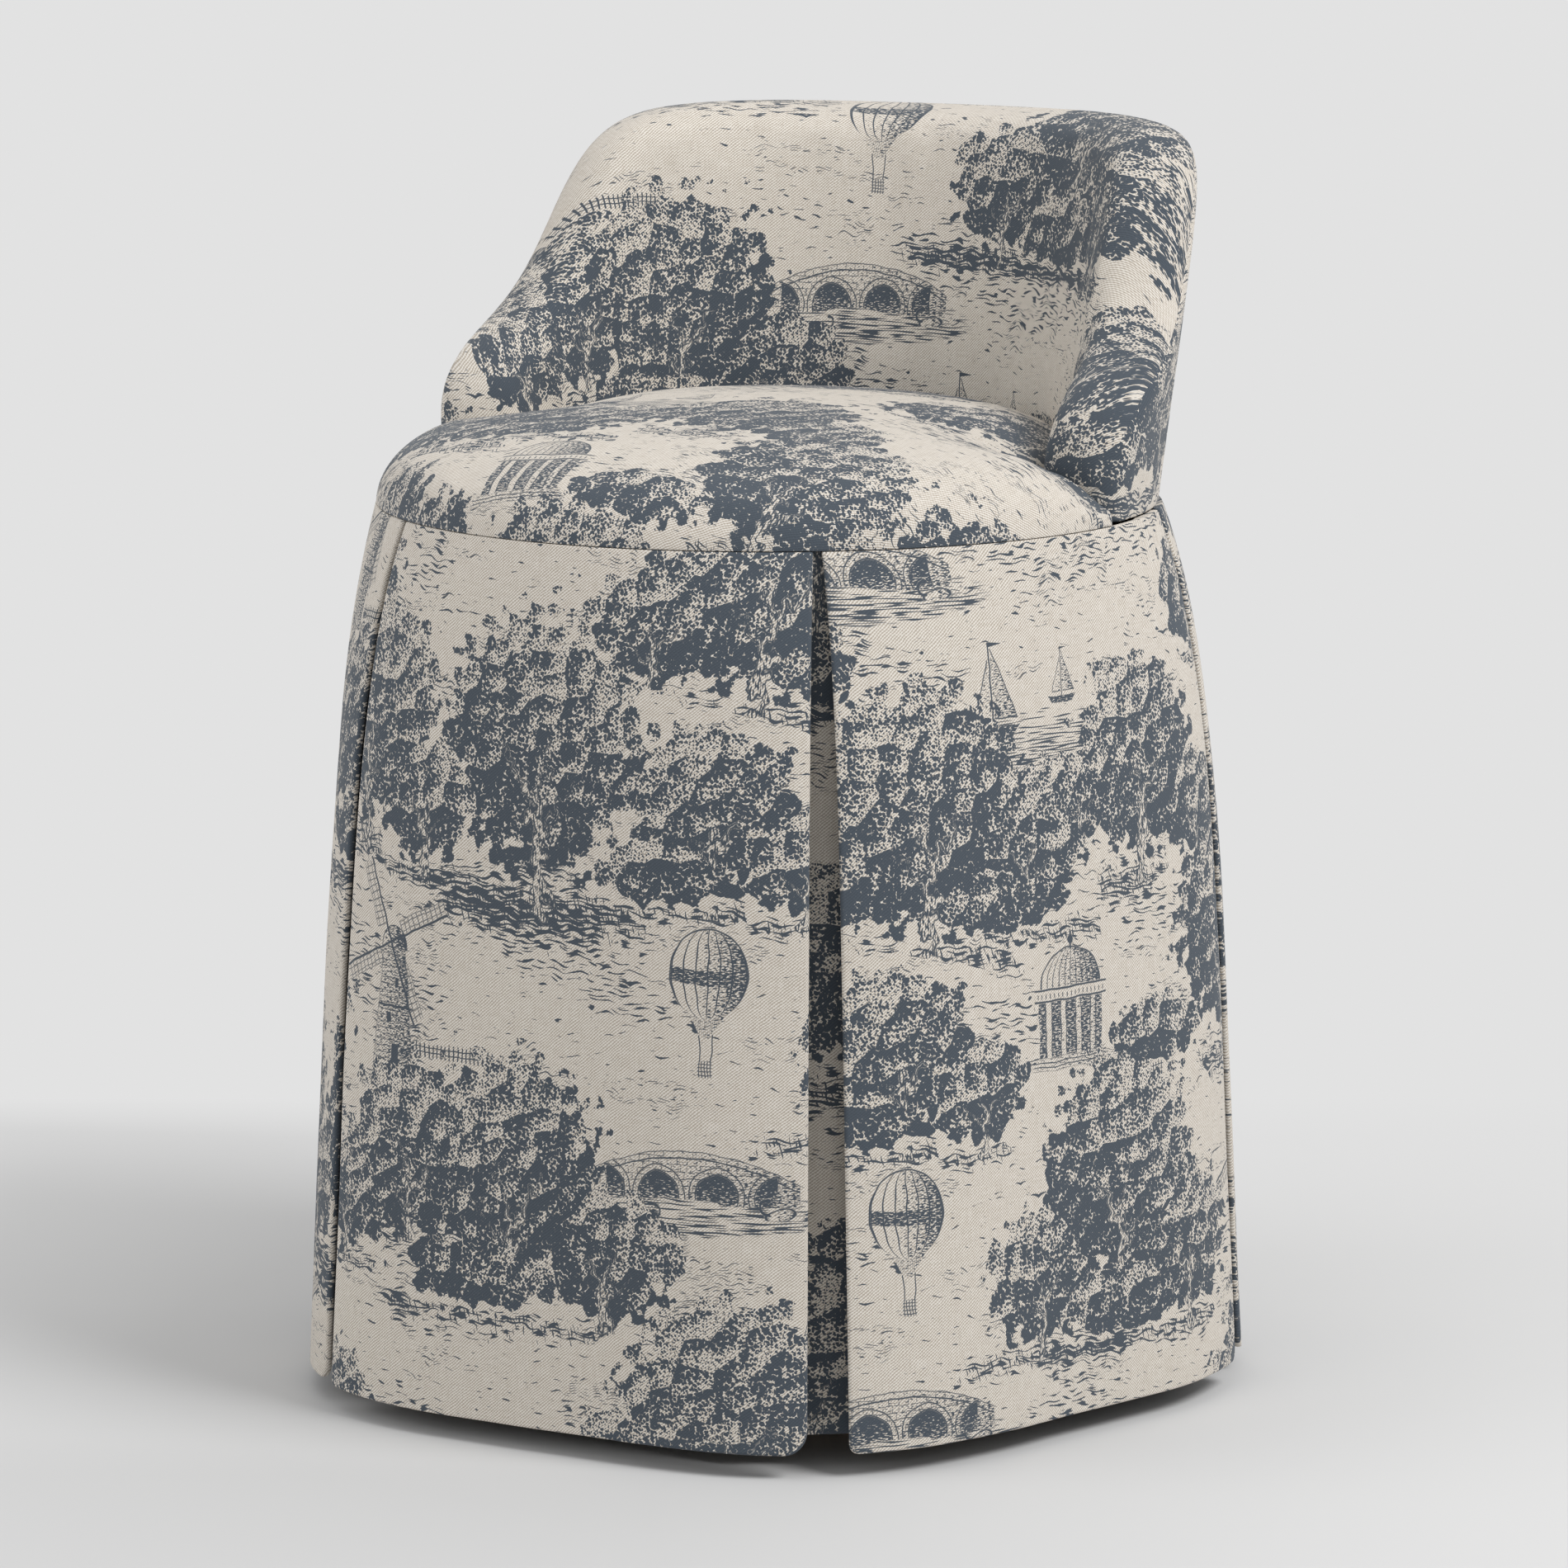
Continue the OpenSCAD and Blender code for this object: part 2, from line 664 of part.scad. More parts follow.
// Thin cover over the padding, closed round the arm fronts
module inner_back_cover() {
    half = concat(half_angles, [for (i = [0 : front_steps - 1]) end_angles[i]]);
    outer_a = both_sides(concat([for (a = half) if (a < seam_angle - over) a], [seam_angle, seam_angle + seam_step],
                                [for (a = half) if (a > seam_angle + over) a]), back_half_angle);
    squeeze = 1 - cloth_t / arc_deg(seat_r) / back_half_angle;
    outer = [for (a = outer_a) cover_path(a, 0)];
    inner = [for (a = outer_a) turned(cover_path(a, cloth_t), abs(a) > end_start_a ? a * squeeze : a)];
    n = len(outer);
    m = len(outer[0]);
    base = n * m;
    grid = [for (i = [0 : n - 2]) for (j = [0 : m - 2])
        each [[i * m + j, (i + 1) * m + j + 1, i * m + j + 1],
              [i * m + j, (i + 1) * m + j, (i + 1) * m + j + 1]]];
    lining = [for (f = grid) [f[2] + base, f[1] + base, f[0] + base]];
    rims = [for (i = [0 : n - 2]) each [
        [i * m, base + (i + 1) * m, (i + 1) * m], [i * m, base + i * m, base + (i + 1) * m],
        [i * m + m - 1, base + (i + 1) * m + m - 1, base + i * m + m - 1],
        [i * m + m - 1, (i + 1) * m + m - 1, base + (i + 1) * m + m - 1]]];
    caps = [[for (j = [0 : m - 1]) j],
            [for (j = [m - 1 : -1 : 0]) base + j],
            [for (j = [m - 1 : -1 : 0]) (n - 1) * m + j],
            [for (j = [0 : m - 1]) base + (n - 1) * m + j],
            [0, base + m - 1, base], [0, m - 1, base + m - 1],
            [(n - 1) * m + m - 1, base + (n - 1) * m, base + (n - 1) * m + m - 1],
            [(n - 1) * m + m - 1, (n - 1) * m, base + (n - 1) * m]];
    color(print_cloth)
        seat_placed()
            polyhedron(points = concat([for (row = outer) each row], [for (row = inner) each row]),
                       faces = concat(grid, lining, rims, caps), convexity = 8);
}

// Outer face of the back, from the seam under the roll down to the waist
module outer_back_cover() {
    last = seam_angle - gap / arc_deg(seat_r);
    angles = both_sides([for (a = half_angles) if (a < last - over) a], last);
    color(print_cloth)
        seat_placed()
            loft([for (a = angles)
                let (z1 = max(cloth_foot_z + over, edge_z(a, seam_inset) - gap))
                concat(wall_pts(a, 0, cloth_foot_z, z1),
                       reverse(wall_pts(a, cloth_t, cloth_foot_z, z1)))]);
}

function reverse(list) = [for (i = [len(list) - 1 : -1 : 0]) list[i]];

// Section between two depths and two heights, the same way round at every angle
function slab(a, d0, d1, z0, z1) =
    concat(wall_pts(a, d0, z0, z1), reverse(wall_pts(a, d1, z0, z1)));

module back_shell() {
    d = cloth_t + gap;
    color(plywood)
        seat_placed()
            loft([for (a = frame_angles) slab(a, d, d + shell_t, cloth_foot_z, edge_z(a, rim_inset))]);
}

module back_rim() {
    color(beech)
        seat_placed()
            loft([for (a = frame_angles)
                let (z1 = edge_z(a, rim_inset))
                slab(a, frame_depth, frame_depth + post_depth, z1 - rim_h, z1)]);
}

liner_depth = frame_depth + post_depth + gap;
foam_depth = liner_depth + liner_t + gap;

module back_liner() {
    color(jute)
        seat_placed()
            loft([for (a = frame_angles)
                slab(a, liner_depth, liner_depth + liner_t, pad_foot_z, edge_z(a, rim_inset))]);
}

// Padding of the inner face, turned over the rim and the shell
module back_foam() {
    inset = cloth_t + gap;
    color(foam_white)
        seat_placed()
            loft([for (a = frame_angles)
                let (z_lip = edge_z(a, rim_inset) + gap)
                concat(wall_pts(a, foam_depth, pad_foot_z, z_lip),
                       reverse(pad_path(a, inset, pad_foot_z, z_lip)))]);
}

// Pad over the front of an arm, on the end of its frame
module arm_front_pad(side) {
    inset = cloth_t + gap;
    squeeze = 1 - inset / arc_deg(seat_r) / back_half_angle;
    color(foam_white)
        seat_placed()
            mirror([side < 0 ? 1 : 0, 0, 0])
                loft([for (a = concat([frame_end_a + 2 * gap / arc_deg(rail_in_r)], end_angles))
                    turned(concat([wall_pt(a, frame_depth + arm_front_r, pad_foot_z),
                                   wall_pt(a, frame_depth + arm_front_r, cloth_foot_z)],
                                  reverse(pad_path(a, inset, pad_foot_z, cloth_foot_z))),
                           a > end_start_a ? a * squeeze : a)]);
}

// Upright of the back: it stands on the rail and leans with the wall
module back_post(a) {
    top_z = min(edge_z(abs(a) - post_half_angle, rim_inset), edge_z(abs(a) + post_half_angle, rim_inset))
        - rim_h - gap;
    outer = [for (s = wall_level_shares)
        let (z = waist_z + s * (top_z - waist_z))
        [wall_r(z) - frame_depth, z]];
    color(beech)
        seat_placed()
            difference() {
                rotate([0, 0, 90 - a - post_half_angle])
                    rotate_extrude(angle = 2 * post_half_angle)
                        polygon(concat([[rail_r, rail_top_z]], outer,
                                       reverse([for (p = outer) [p[0] - post_depth, p[1]]]),
                                       [[rail_r - post_depth, rail_top_z]]));
                at_post(a)
                    translate([0, 0, rail_top_z - over])
                        cylinder(r = dowel_r + hole_gap, h = post_dowel_l / 2 + 2 * over);
            }
}

// Children stand where the dowel of an upright does
module at_post(a) {
    translate([(rail_r - post_depth / 2) * sin(a), (rail_r - post_depth / 2) * cos(a), 0])
        children();
}

module at_posts() {
    for (a = post_angles)
        at_post(a)
            children();
}

module post_dowels() {
    color(beech)
        seat_placed()
            at_posts()
                translate([0, 0, rail_top_z - post_dowel_l / 2])
                    cylinder(r = dowel_r, h = post_dowel_l);
}

// The seat's axis, at its place in the chair's frame
module seat_placed() {
    translate([0, seat_y, 0])
        children();
}

leg(leg_angles[3]);  // leg_front_left
leg(leg_angles[0]);  // leg_front_right
leg(leg_angles[2]);  // leg_rear_left
leg(leg_angles[1]);  // leg_rear_right
leg_glides();
leg_bolts();
leg_nuts();
seat_rail(270);  // seat_rail_front_left
seat_rail(0);  // seat_rail_front_right
seat_rail(180);  // seat_rail_rear_left
seat_rail(90);  // seat_rail_rear_right
rail_dowels();
webbing_lengthwise();
webbing_crosswise();
deck_cloth();
seat_foam();
seat_wadding();
seat_cover();
dust_cover();
waist_tack_strip();
skirt_panel(0);  // skirt_panel_front
skirt_panel(1);  // skirt_panel_front_right
skirt_panel(2);  // skirt_panel_rear_right
skirt_panel(3);  // skirt_panel_rear_left
skirt_panel(4);  // skirt_panel_front_left
pleat_underlay(0);  // pleat_underlay_front_right
pleat_underlay(1);  // pleat_underlay_right
pleat_underlay(2);  // pleat_underlay_rear
pleat_underlay(3);  // pleat_underlay_left
pleat_underlay(4);  // pleat_underlay_front_left
back_post(-inner_post_a);  // back_post_inner_left
back_post(inner_post_a);  // back_post_inner_right
back_post(-outer_post_a);  // back_post_outer_left
back_post(outer_post_a);  // back_post_outer_right
back_post(-arm_post_a);  // arm_post_left
back_post(arm_post_a);  // arm_post_right
post_dowels();
back_rim();
back_shell();
back_liner();
back_foam();
arm_front_pad(-1);  // arm_front_pad_left
arm_front_pad(1);  // arm_front_pad_right
inner_back_cover();
outer_back_cover();
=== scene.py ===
import json
from math import asin, atan2, copysign, cos, degrees, exp, hypot, pi, radians, sin, sqrt

import bmesh
import bpy
import numpy as np
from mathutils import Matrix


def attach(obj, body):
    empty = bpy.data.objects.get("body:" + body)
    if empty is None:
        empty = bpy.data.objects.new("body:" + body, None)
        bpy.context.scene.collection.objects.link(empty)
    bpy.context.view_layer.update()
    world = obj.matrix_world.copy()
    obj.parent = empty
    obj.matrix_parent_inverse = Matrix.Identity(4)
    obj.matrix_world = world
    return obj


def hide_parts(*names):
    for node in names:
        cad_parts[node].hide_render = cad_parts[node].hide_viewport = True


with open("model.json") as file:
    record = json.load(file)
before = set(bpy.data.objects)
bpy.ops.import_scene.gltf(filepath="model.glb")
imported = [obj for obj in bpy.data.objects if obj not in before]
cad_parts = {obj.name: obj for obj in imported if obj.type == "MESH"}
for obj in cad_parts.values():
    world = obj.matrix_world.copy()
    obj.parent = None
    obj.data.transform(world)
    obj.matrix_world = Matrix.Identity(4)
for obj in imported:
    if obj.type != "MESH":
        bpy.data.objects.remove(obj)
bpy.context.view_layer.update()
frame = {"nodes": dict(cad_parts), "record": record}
nodes = frame["nodes"]
scene = bpy.context.scene

# Sizes, as in the part's source

MM = 0.001
SEAT_R, WAIST_Z, SHOULDER_W, SHOULDER_H, CROWN_H = 203, 455, 40, 30.5, 17
BACK_TOP_Z, ARM_TOP_Z, BACK_T, SETBACK, LEAN, HALF_A = 646, 534, 46, 2, 28.5, 91.5
DROP_A, DROP_SPREAD, NOSE_A, NOSE_DROP, ROLL_H, ARM_R = 63.5, 5, 70, 53, 16, 14
HEM_Z, PLEATS = 12, 5
PANEL_A = 360 / PLEATS
HALF_PANEL = PANEL_A / 2
PANEL_LIFT, PLEAT_LIFT, PANEL_FLARE, PLEAT_FLARE, LIFT_DEPTH = 12, 24, 14, 23, 66
GAP_WAIST, GAP_SPRING, GAP_FLARE = 4, 9, 8
PANEL_T, FOLD_T, FOLD_W = 2.4, 4, 38
UNDER_W, UNDER_T, UNDER_SHORT, UNDER_R = 34, 1.5, 5, 198.6
UNDER_RECESS = (17, 15, 13, 13, 9)
CLOTH_T, GAP = 1.4, 0.3
SEAT_TOP = WAIST_Z + SHOULDER_H + CROWN_H + CLOTH_T + GAP
PAD_FOOT_Z, HANG_Z, CLOTH_FOOT_Z = 444.1, 454.7, 455.3
TUCK_R = SEAT_R - SETBACK - BACK_T - GAP
RIM_INSET, SEAM_INSET, FOAM_DEPTH, FRAME_END = ROLL_H + 1, ROLL_H + FOLD_T, 25.4, 86.7
LEAN_POWER, STEEPEST = 1.4, 2.2


def arc(r):
    """Length of one degree of a circle."""
    return pi * r / 180


def skirt_r(a, z):
    """The skirt springs out under the waist and then flares, most at the pleats."""
    d = WAIST_Z - z
    at = (1 + np.cos(np.radians(PLEATS * (a - 180)))) / 2
    lift = PANEL_LIFT + (PLEAT_LIFT - PANEL_LIFT) * at
    flare = PANEL_FLARE + (PLEAT_FLARE - PANEL_FLARE) * at
    return SEAT_R + lift * (1 - np.exp(-d / LIFT_DEPTH)) + flare * d / (WAIST_Z - HEM_Z)


def pleat_gap(z):
    d = WAIST_Z - z
    spring = GAP_SPRING * (1 - exp(-d / LIFT_DEPTH))
    return GAP_WAIST + spring + GAP_FLARE * d / (WAIST_Z - HEM_Z)


def reach_y():
    """How far the seat's axis lies behind the middle of the hem."""
    half = HALF_PANEL - pleat_gap(HEM_Z) / 2 / arc(skirt_r(180, HEM_Z))
    rear_a = HALF_PANEL - half
    rear = skirt_r(180 - rear_a, HEM_Z) * cos(radians(rear_a))
    return (skirt_r(0, HEM_Z) - rear) / 2


SEAT_Y = reach_y()


def top_edge(a):
    """The top edge: an S-curve from the middle down to the arms' noses."""
    b = abs(a)
    n = min(1, max(0, (b - NOSE_A) / (HALF_A - NOSE_A)))
    arm = ARM_TOP_Z - NOSE_DROP * (1 - sqrt(1 - n * n))
    return arm + (BACK_TOP_Z - ARM_TOP_Z) / (1 + exp((b - DROP_A) / DROP_SPREAD))


def edge_z(a, inset):
    """Height at an inset square to the top edge."""
    b = min(abs(a), HALF_A - 0.5)
    rise = (top_edge(b + 0.5) - top_edge(b - 0.5)) / arc(SEAT_R - SETBACK)
    return top_edge(a) - inset * sqrt(1 + min(STEEPEST, abs(rise)) ** 2)


END_A = HALF_A - ARM_R / arc(SEAT_R)
FRONT_HALF = 180 - HALF_A - GAP / arc(SEAT_R)


def wall_r(z):
    """The back's outer face, which leans outwards."""
    return SEAT_R - SETBACK + LEAN * (max(0, z - WAIST_Z) / (BACK_TOP_Z - WAIST_Z)) ** LEAN_POWER


def end_draw(a):
    """How far the faces draw in at an arm's front."""
    s = min(1, max(0, (abs(a) - END_A) / (HALF_A - END_A)))
    return ARM_R * (1 - sqrt(1 - s * s))


# Meshes


def add_object(name, data):
    obj = bpy.data.objects.new(name, data)
    scene.collection.objects.link(obj)
    return obj


def make(name, verts, faces, uvs):
    """A mesh object from points in millimetres about the seat's axis. uvs: one (u, v) in
    millimetres for each face corner, in order."""
    mesh = bpy.data.meshes.new(name)
    pts = np.asarray(verts, float) * MM
    pts[:, 1] += SEAT_Y * MM
    mesh.from_pydata(pts.tolist(), [], [list(f) for f in faces])
    layer = mesh.uv_layers.new(name="cloth")
    layer.data.foreach_set("uv", (np.asarray(uvs, float) * MM).ravel())
    for p in mesh.polygons:
        p.use_smooth = True
    mesh.update()
    return add_object(name, mesh)


def loft(name, rows, uv_rows, uv_ends=None, cap_uvs=None):
    """A closed solid through closed sections with as many points each, with a cap at each end.
    uv_rows holds one more point a row than rows, so that the cloth's grain is cut there. uv_ends
    gives the far side of each strip, where the cloth is cut between strips too."""
    n, m = len(rows), len(rows[0])
    verts = [p for row in rows for p in row]
    uv_ends = uv_ends or [row[1:] for row in uv_rows]
    cap_uvs = cap_uvs or (uv_rows[0], uv_rows[-1])
    faces, uvs = [], []
    for i in range(n - 1):
        for j in range(m):
            k = (j + 1) % m
            faces.append((i * m + j, i * m + k, (i + 1) * m + k, (i + 1) * m + j))
            uvs += [uv_rows[i][j], uv_ends[i][j], uv_ends[i + 1][j], uv_rows[i + 1][j]]
    for i, order, cap in ((0, range(m - 1, -1, -1), cap_uvs[0]), (n - 1, range(m), cap_uvs[1])):
        mid = len(verts)
        verts.append(np.mean(np.asarray(rows[i], float), 0))
        mid_uv = np.mean(np.asarray(cap[:m], float), 0)
        order = list(order)
        for j in range(m):
            p, q = order[j], order[(j + 1) % m]
            faces.append((i * m + p, i * m + q, mid))
            uvs += [cap[p], cap[q], mid_uv]
    return make(name, verts, faces, uvs)


def outward(obj):
    bm = bmesh.new()
    bm.from_mesh(obj.data)
    bmesh.ops.recalc_face_normals(bm, faces=bm.faces)
    bm.to_mesh(obj.data)
    bm.free()
    return obj


def subdivide(obj):
    m = obj.modifiers.new("smooth", "SUBSURF")
    m.levels = m.render_levels = 1
    m.boundary_smooth = "PRESERVE_CORNERS"


def front_pt(r, a, z):
    """a degrees from the front"""
    t = radians(a)
    return (r * sin(t), -r * cos(t), z)


def back_pt(r, a, z):
    """a degrees from the rear"""
    t = radians(a)
    return (r * sin(t), r * cos(t), z)


def smooth_step(t):
    t = min(1, max(0, t))
    return t * t * (3 - 2 * t)


def ripple(a, z, seed):
    """Slow unevenness of hung cloth, about -1 to 1."""
    return (0.5 * sin(0.071 * a * 3.1 + 0.013 * z + 1.7 * seed)
            + 0.3 * sin(0.19 * a * 2.3 - 0.021 * z + 2.9 * seed)
            + 0.2 * sin(0.043 * z + 0.11 * a + 4.1 * seed))


# Skirt

PANEL_STEPS, EDGE_STEPS = 44, 5
UNDER_STEPS, UNDER_ROWS = 24, 36
# a panel's rows above the hem and under the waist
HEM_ROWS = (1.8, 3, 4.5, 6.5, 9, 12, 16, 22, 30, 36, 39, 50)
WAIST_ROWS = (92, 80, 69, 59, 50, 42, 35, 28, 22, 17, 12.5, 9, 6, 3.5, 2)
HEM_H, HEM_EXTRA_T = 36, 0.8
# unevenness of a panel, and the drop over which it grows
UNEVEN, UNEVEN_DROP = 0.7, 160
BOW, BOW_UNEVEN = 1.2, 0.5
# radius of each panel's hem corners, left and right
CORNERS = ((5, 12), (5, 8), (6, 7), (6, 7), (6, 9))
# how far its edges hang over to the next panel at the hem: the front left pleat is nearly shut
REACHES = ((5, 0), (0, 0), (0, 0), (0, 0), (0, 7))


def skirt_face(a, z, k):
    """Radius of a panel's outer face, a from the panel's middle."""
    share = smooth_step((WAIST_Z - z) / UNEVEN_DROP)
    return skirt_r(a, z) + share * UNEVEN * ripple(a, z, k + 1)


def panel_section(z, k, squeeze):
    """A panel's outline at a height, with a share of its full thickness."""
    r_edge = skirt_r(HALF_PANEL, z)
    ends = []
    opened = (pleat_gap(z) - GAP_WAIST) / (GAP_SPRING + GAP_FLARE)
    for side, corner, reach in zip((-1, 1), CORNERS[k], REACHES[k]):
        c = max(0, corner - (z - HEM_Z))
        pull = corner - sqrt(max(0, corner * corner - c * c)) - reach * opened
        ends.append(side * (HALF_PANEL - (pleat_gap(z) / 2 + pull) / arc(r_edge)))
    soft = FOLD_T / 2 / arc(r_edge)
    lo, hi = ends[0] + soft, ends[1] - soft
    row, uv = [], []

    def add(a, depth, flip_u):
        r = skirt_face(a, z, k) - depth
        row.append(front_pt(r, a, z))
        uv.append((flip_u * arc(r_edge), z))

    def thick(a):
        near = min(a - ends[0], ends[1] - a) * arc(r_edge)
        fold = PANEL_T + (FOLD_T - PANEL_T) * (1 - smooth_step((near - FOLD_W) / 4))
        return max(fold, PANEL_T + HEM_EXTRA_T * (1 - smooth_step((z - HEM_Z - HEM_H) / 3)))

    mid = FOLD_T / 2
    spots = [lo + (hi - lo) * i / PANEL_STEPS for i in range(PANEL_STEPS + 1)]
    for a in spots:
        t = thick(a) / 2
        add(a, t - t * squeeze, a)
    for i in range(1, EDGE_STEPS + 1):
        t = pi * i / (EDGE_STEPS + 1)
        a = hi + soft * sin(t) * squeeze
        add(a, mid - mid * cos(t) * squeeze, a + soft * i / 3)
    for a in spots[::-1]:
        t = thick(a) / 2
        add(a, t + t * squeeze, 2 * hi - a)
    for i in range(1, EDGE_STEPS + 1):
        t = pi * i / (EDGE_STEPS + 1)
        a = lo - soft * sin(t) * squeeze
        add(a, mid + mid * cos(t) * squeeze, a)
    uv.append(uv[0])
    return row, uv


def turn(rows, k):
    t = radians(PANEL_A * k)
    c, s = cos(t), sin(t)
    return [[(x * c - y * s, x * s + y * c, z) for x, y, z in row] for row in rows]


def round_foot(foot, r, least, turns):
    """Heights round a lower edge, with their shares of the thickness."""
    return [(foot + r * (1 - cos(radians(t))), max(least, sin(radians(t))))
            for t in turns]


def skirt_panel(name, k):
    levels = round_foot(HEM_Z, PANEL_T / 2, 0.25, (0, 25, 50, 75))
    levels += [(HEM_Z + d, 1) for d in HEM_ROWS]
    levels += [(z, 1) for z in range(HEM_Z + 62, WAIST_Z - 96, 14)]
    levels += [(WAIST_Z - d, 1) for d in WAIST_ROWS]
    levels += [(HANG_Z - 0.6, 1), (HANG_Z - 0.2, 0.95), (HANG_Z, 0.8)]
    rows, uvs = zip(*[panel_section(z, k, s) for z, s in levels])
    return loft(name, turn(rows, k), uvs)


def pleat_underlay(name, k):
    """The cloth behind a pleat's opening: it bows back a little between the folds."""
    hem = HEM_Z + UNDER_SHORT
    half = UNDER_W / arc(SEAT_R)
    levels = round_foot(hem, UNDER_T / 2, 0.3, (0, 30, 60))
    levels += [(hem + 1 + (HANG_Z - 1 - hem) * i / UNDER_ROWS, 1) for i in range(UNDER_ROWS)]
    levels += [(HANG_Z - 0.4, 1), (HANG_Z, 0.5)]
    spots = [HALF_PANEL - half + 2 * half * i / UNDER_STEPS for i in range(UNDER_STEPS + 1)]
    rows, uvs = [], []
    for z, squeeze in levels:
        row, uv = [], []
        share = (WAIST_Z - z) / (WAIST_Z - HEM_Z)
        recess = UNDER_RECESS[k] * (1 - exp(-(WAIST_Z - z) / LIFT_DEPTH))

        def add(a, depth, u):
            b = (a - HALF_PANEL) / half
            bow = BOW * share * (1 - b * b) + BOW_UNEVEN * share * ripple(a * 2, z, k + 7)
            face = skirt_r(a, z) - (SEAT_R - UNDER_R) - recess - bow
            row.append(front_pt(face - depth, a, z))
            uv.append((u * arc(SEAT_R), z))

        h = UNDER_T / 2
        for a in spots:
            add(a, h - h * squeeze, a)
        for a in spots[::-1]:
            add(a, h + h * squeeze, PANEL_A + 2 * half - a)
        uv.append(uv[0])
        rows.append(row)
        uvs.append(uv)
    return loft(name, turn(rows, k), uvs)


# Seat

LIP, LIP_R, PAD_R, PAD_MID_Z = 0.4, 196, 192.7, 450
CROWN_STEPS, ROUND_STEPS, WALL_STEPS = 13, 12, 7
END_R, TUCK_ROUND = 5, 8
# the crease with the back: depth, what the arms' fronts add over how many degrees, width, fade
TUCK_DEPTH, TUCK_MORE, TUCK_SPREAD, TUCK_W, TUCK_FADE = 2, 10, 55, 46, 22


def crown_z(r):
    return SEAT_TOP - CROWN_H * (r / SEAT_R) ** 2


def crown(reach):
    radii = [reach * i / CROWN_STEPS for i in range(1, CROWN_STEPS + 1)]
    return [(r, crown_z(r)) for r in radii]


def seat_front(pull):
    """Crown, shoulder, lip at the waist seam and foot, in front of the arms."""
    pts = crown(SEAT_R - SHOULDER_W)
    foot = WAIST_Z + LIP
    for i in range(1, ROUND_STEPS + 1):
        t = radians(90 * i / ROUND_STEPS)
        r = SEAT_R - SHOULDER_W + SHOULDER_W * sin(t)
        z = crown_z(r) - (crown_z(SEAT_R) - foot) * (1 - cos(t))
        pts.append((r - pull * (1 - cos(t)), z))
    pts += [(SEAT_R - pull - d, foot - h) for d, h in ((0.15, 0.2), (0.6, 0.35), (3.2, 0.4))]
    pts += [(r - pull * 0.2, foot - h) for r, h in ((LIP_R, 0.3), (PAD_R, 0.2))]
    return pts + [(PAD_R, PAD_MID_Z), (PAD_R, PAD_FOOT_Z)]


def seat_rear():
    """Crown, and the wall that goes down inside the back."""
    wall = TUCK_R - GAP
    pts = crown(wall - TUCK_ROUND)
    top = crown_z(wall - TUCK_ROUND)
    for i in range(1, ROUND_STEPS + 1):
        t = radians(90 * i / ROUND_STEPS)
        r = wall - TUCK_ROUND + TUCK_ROUND * sin(t)
        pts.append((r, top - TUCK_ROUND * (1 - cos(t))))
    brow = top - TUCK_ROUND
    steps = range(1, WALL_STEPS + 1)
    return pts + [(wall, brow + (PAD_FOOT_Z - brow) * i / WALL_STEPS) for i in steps]


def tuck(r, a, z):
    """How far the cushion dips into the crease with the back, deepest at the arms' fronts."""
    past = abs(a) - FRONT_HALF
    depth = TUCK_DEPTH + TUCK_MORE * smooth_step(1 - abs(past) / TUCK_SPREAD)
    if past < 0:
        gap = hypot(max(0, TUCK_R - r), past * arc(max(r, 60)))
    else:
        gap = max(0, TUCK_R - r)
    near = 1 - smooth_step(gap / TUCK_W)
    return depth * near ** 1.4 * smooth_step((z - WAIST_Z - 3) / TUCK_FADE)


def seat_cushion():
    f = FRONT_HALF
    side = [f - d for d in (0.05, 0.35, 0.8, 1.3, 1.9, 2.6, 3.6, 5, 7)]
    front = list(np.arange(0, f - 8.6, 2.5)) + side[::-1]
    rear = [f + d for d in (0.02, 0.3, 1.2, 2.6, 5)] + list(np.arange(f + 7.5, 179, 2.9))
    half = [(a, True) for a in front] + [(a, False) for a in rear]
    cols = half + [(180, False)] + [(-a, w) for a, w in half[:0:-1]]
    rows, uvs = [], []
    for a, is_front in cols:
        if is_front:
            s = max(0, 1 - (f - abs(a)) * arc(SEAT_R) / END_R)
            prof = seat_front(END_R * (1 - sqrt(max(0, 1 - s * s))))
        else:
            prof = seat_rear()
        rows.append([front_pt(r, a, z - tuck(r, a, z)) for r, z in prof])
        run, uv, last = 0, [], (0, crown_z(0))
        for r, z in prof:
            run += hypot(r - last[0], z - last[1])
            last = (r, z)
            uv.append((run * sin(radians(a)), -run * cos(radians(a))))
        uvs.append(uv)
    n, m = len(rows), len(rows[0])
    verts = [p for row in rows for p in row] + [(0, 0, crown_z(0)), (0, 0, PAD_FOOT_Z)]
    faces, fuv = [], []
    for i in range(n):
        k = (i + 1) % n
        for j in range(m - 1):
            faces.append((i * m + j, i * m + j + 1, k * m + j + 1, k * m + j))
            fuv += [uvs[i][j], uvs[i][j + 1], uvs[k][j + 1], uvs[k][j]]
        faces.append((i * m, k * m, n * m))
        fuv += [uvs[i][0], uvs[k][0], (0, 0)]
        faces.append((i * m + m - 1, n * m + 1, k * m + m - 1))
        fuv += [uvs[i][m - 1], (0, 0), uvs[k][m - 1]]
    obj = outward(make("seat_cushion", verts, faces, fuv))
    pins = [i * m + j for i in range(n) for j in range(m) if j >= CROWN_STEPS + ROUND_STEPS - 1]
    return obj, pins + [n * m + 1]


# Back

SEAM_A, SEAM_HALF = 62.5, 0.14
INNER_STEPS, ROLL_STEPS, OUTER_STEPS, PANEL_ROWS = 14, 16, 10, 22
ROLL_POWER = 2 / 2.6
# the print's radii, and the angle over which it turns upright at the noses
BACK_UV_R, OUTER_UV_R, UPRIGHT_A = 178, 200, 14
# the roll's last rows, behind the outer shoulder
BEHIND = 4
